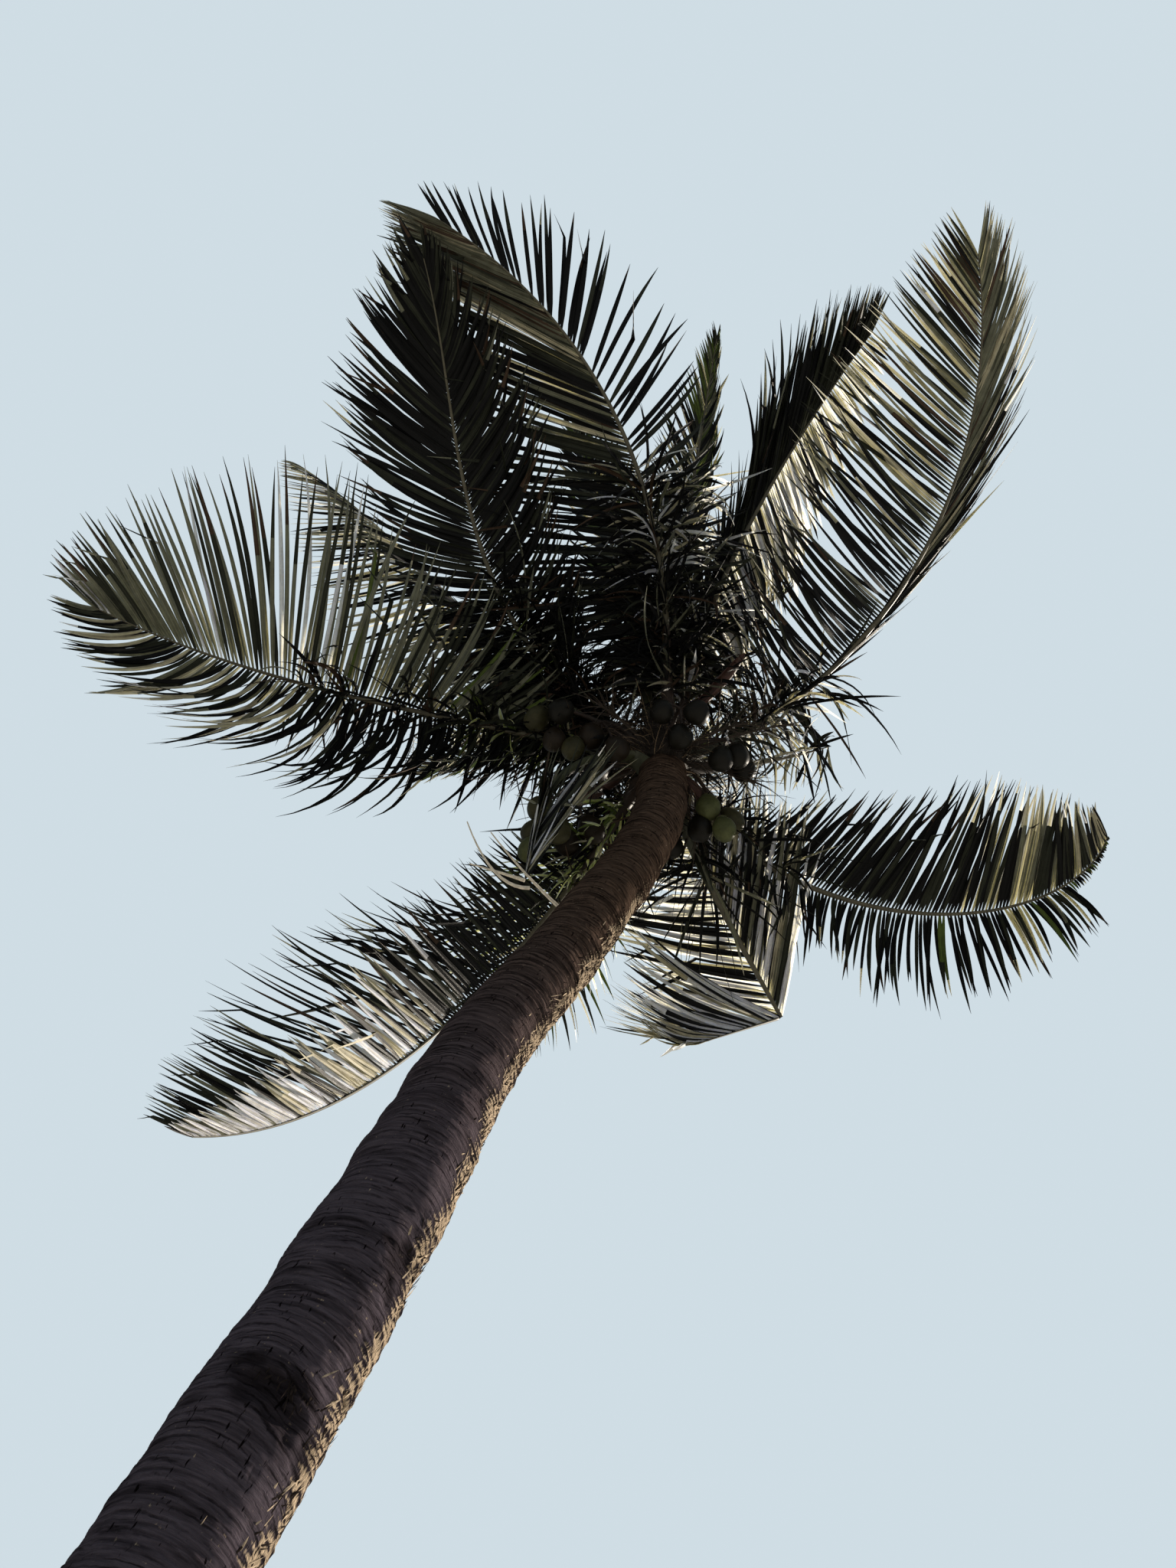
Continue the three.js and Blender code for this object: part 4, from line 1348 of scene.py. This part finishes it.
# %% Dead rib ends caught at the tip of the shrivelled stalk
STICKS = [((-0.192, -0.209, 0.175), (0.0, 0.0, 0.03), (0.240, 0.149, -0.125)),
          ((-0.313, -0.073, 0.061), (-0.15, -0.03, 0.04), (0.0, 0.0, 0.0)),
          ((-0.326, -0.255, 0.214), (-0.18, -0.03, -0.10), (0.03, 0.0, -0.06))]
STICK_RADIUS = 0.012

caught_at = rib_line(FRONDS["frond_shrivelled"])[-1]
stick_curves = np.stack([bowed(*(caught_at + np.array(place) for place in stick)) for stick in STICKS])
stick_radii = np.tile(STICK_RADIUS * tapering(0.3, 1), (len(STICKS), 1))
rings = tube_rings(stick_curves, stick_radii, 6)
sticks = rings_to_piece("caught_sticks", rings, 0, 40)
stick_pale = noisy_finish("stick_pale", (0.70, 0.62, 0.50), 0.3, 40, 0.4, 0.001, (0.6, 0.8))
finish_piece(sticks, [stick_pale])
print(len(STICKS), "caught sticks")

# %% [markdown]
# ## Splinters
# The sun and the wind have frayed one side of the trunk. Its splinters could be drawn by the bark's
# finish, but then the outline would stay smooth. So each is a short folded strip that starts in the
# bark and stands off it, and a few torn fibres hang over the hollow.

# %% Splinters on the weathered side of the trunk
SPLINTERS = 1500
TORN_FIBRES = 26
SPLINTER_STEPS = 4
SPLINTER_THICKNESS, SPLINTER_FOLD, SPLINTER_TWIST = 0.0015, 0.3, (0, 0.6)
ROOTED = 0.004


def splinters(around, along, turn, lengths, offs, widths, rng):
    """Slivers that start in the bark and stand off it at their ends. turn: their angle to the trunk
    and how much it varies. lengths, offs, widths: from the least to the most."""
    turn = rng.normal(*turn, len(around))
    length, off, width = (rng.uniform(*limits, len(around)) for limits in (lengths, offs, widths))
    part = np.linspace(0, 1, SPLINTER_STEPS + 1)
    run_around = around[:, None] + (length * np.sin(turn) / STRAIGHT_RADIUS)[:, None] * part
    run_along = along[:, None] + (length * np.cos(turn))[:, None] * part
    places, outward, way = trunk_place(run_around, run_along, -ROOTED + (ROOTED + off)[:, None] * part)
    run = unit(np.gradient(places, axis=1))
    flat = np.cross(way, outward)[:, 0]
    return strip_rings(places, run, flat, 1, width, rng, SPLINTER_THICKNESS, SPLINTER_FOLD, SPLINTER_TWIST)


splinter_rng = np.random.default_rng(61)
around_trunk = splinter_rng.normal(WEATHER_AND_SUN_SIDE - 0.45, 0.24, SPLINTERS)
up_trunk = splinter_rng.uniform(0.1, SOUND_FROM, SPLINTERS) * trunk_arc[-1]
frayed_and_sunlit = splinters(
    around_trunk, up_trunk, (0.1, 0.3), (0.02, 0.075), (0.001, 0.009), (0.003, 0.008), splinter_rng)
hollow_middle = np.interp(HOLLOW["height"], trunk_line[:, 2], trunk_arc)
around_hollow = HOLLOW["around"] + HOLLOW["wide"] * splinter_rng.uniform(-0.6, 1.3, TORN_FIBRES)
above_hollow = hollow_middle + HOLLOW["long"] * splinter_rng.uniform(0.5, 1.3, TORN_FIBRES)
torn = splinters(
    around_hollow, above_hollow, (math.pi, 0.3), (0.02, 0.08), (0.0, 0.010), (0.003, 0.007), splinter_rng)
finish_numbers = (splinter_rng.random(SPLINTERS) < 0.5).astype(int)
finish_numbers = np.concatenate([finish_numbers, np.ones(TORN_FIBRES, int)])
splinter_finishes = []
for name, colour in (("pale", (0.460, 0.360, 0.260)), ("dark", (0.022, 0.017, 0.015))):
    splinter = noisy_finish("bark_splinter_" + name, colour, 0.5, 60, 0.5, 0.001, (0.7, 0.9))
    set_gloss(splinter, 0.0)
    splinter_finishes.append(splinter)
slivers = rings_to_piece("bark_splinters", np.concatenate([frayed_and_sunlit, torn]), finish_numbers[:, None], 40)
finish_piece(slivers, splinter_finishes)
print(len(finish_numbers), "splinters")

# %% [markdown]
# ## The spear
# The youngest leaf stands closed in the middle of the crown. It could be a cone, but its folded
# leaflets show as ridges that wind up it, so it is lofted from rings with four lobes, each turned
# a little more than the one below.

# %% The spear
SPEAR_BOTTOM, SPEAR_HEIGHT, SPEAR_RADIUS = 0.45, 1.95, 0.034
SPEAR_LEAN = (-0.09, -0.11)
SPEAR_RINGS, SPEAR_SIDES = 26, 12
SPEAR_WINDS = 2.5

part = np.linspace(0, 1, SPEAR_RINGS)[:, None]
middle = CROWN + np.column_stack([part ** 2 * SPEAR_LEAN, SPEAR_BOTTOM + SPEAR_HEIGHT * part])
turn = around_once(SPEAR_SIDES)
twisted = turn + SPEAR_WINDS * part
radius = SPEAR_RADIUS * (1 - 0.92 * part) * (1 + 0.16 * np.cos(4 * turn))
across = np.stack([radius * np.cos(twisted), radius * np.sin(twisted), np.zeros_like(twisted)], -1)
rings = (middle[:, None] + across)[None]
spear = rings_to_piece("spear_leaf", rings, 0, 50)
young_leaf = noisy_finish("young_leaf", (0.22, 0.27, 0.08), 0.4, (70, 70, 8), 0.5, 0.002, (0.4, 0.6))
finish_piece(spear, [young_leaf], ["spear"])
print("spear", SPEAR_HEIGHT, "m")
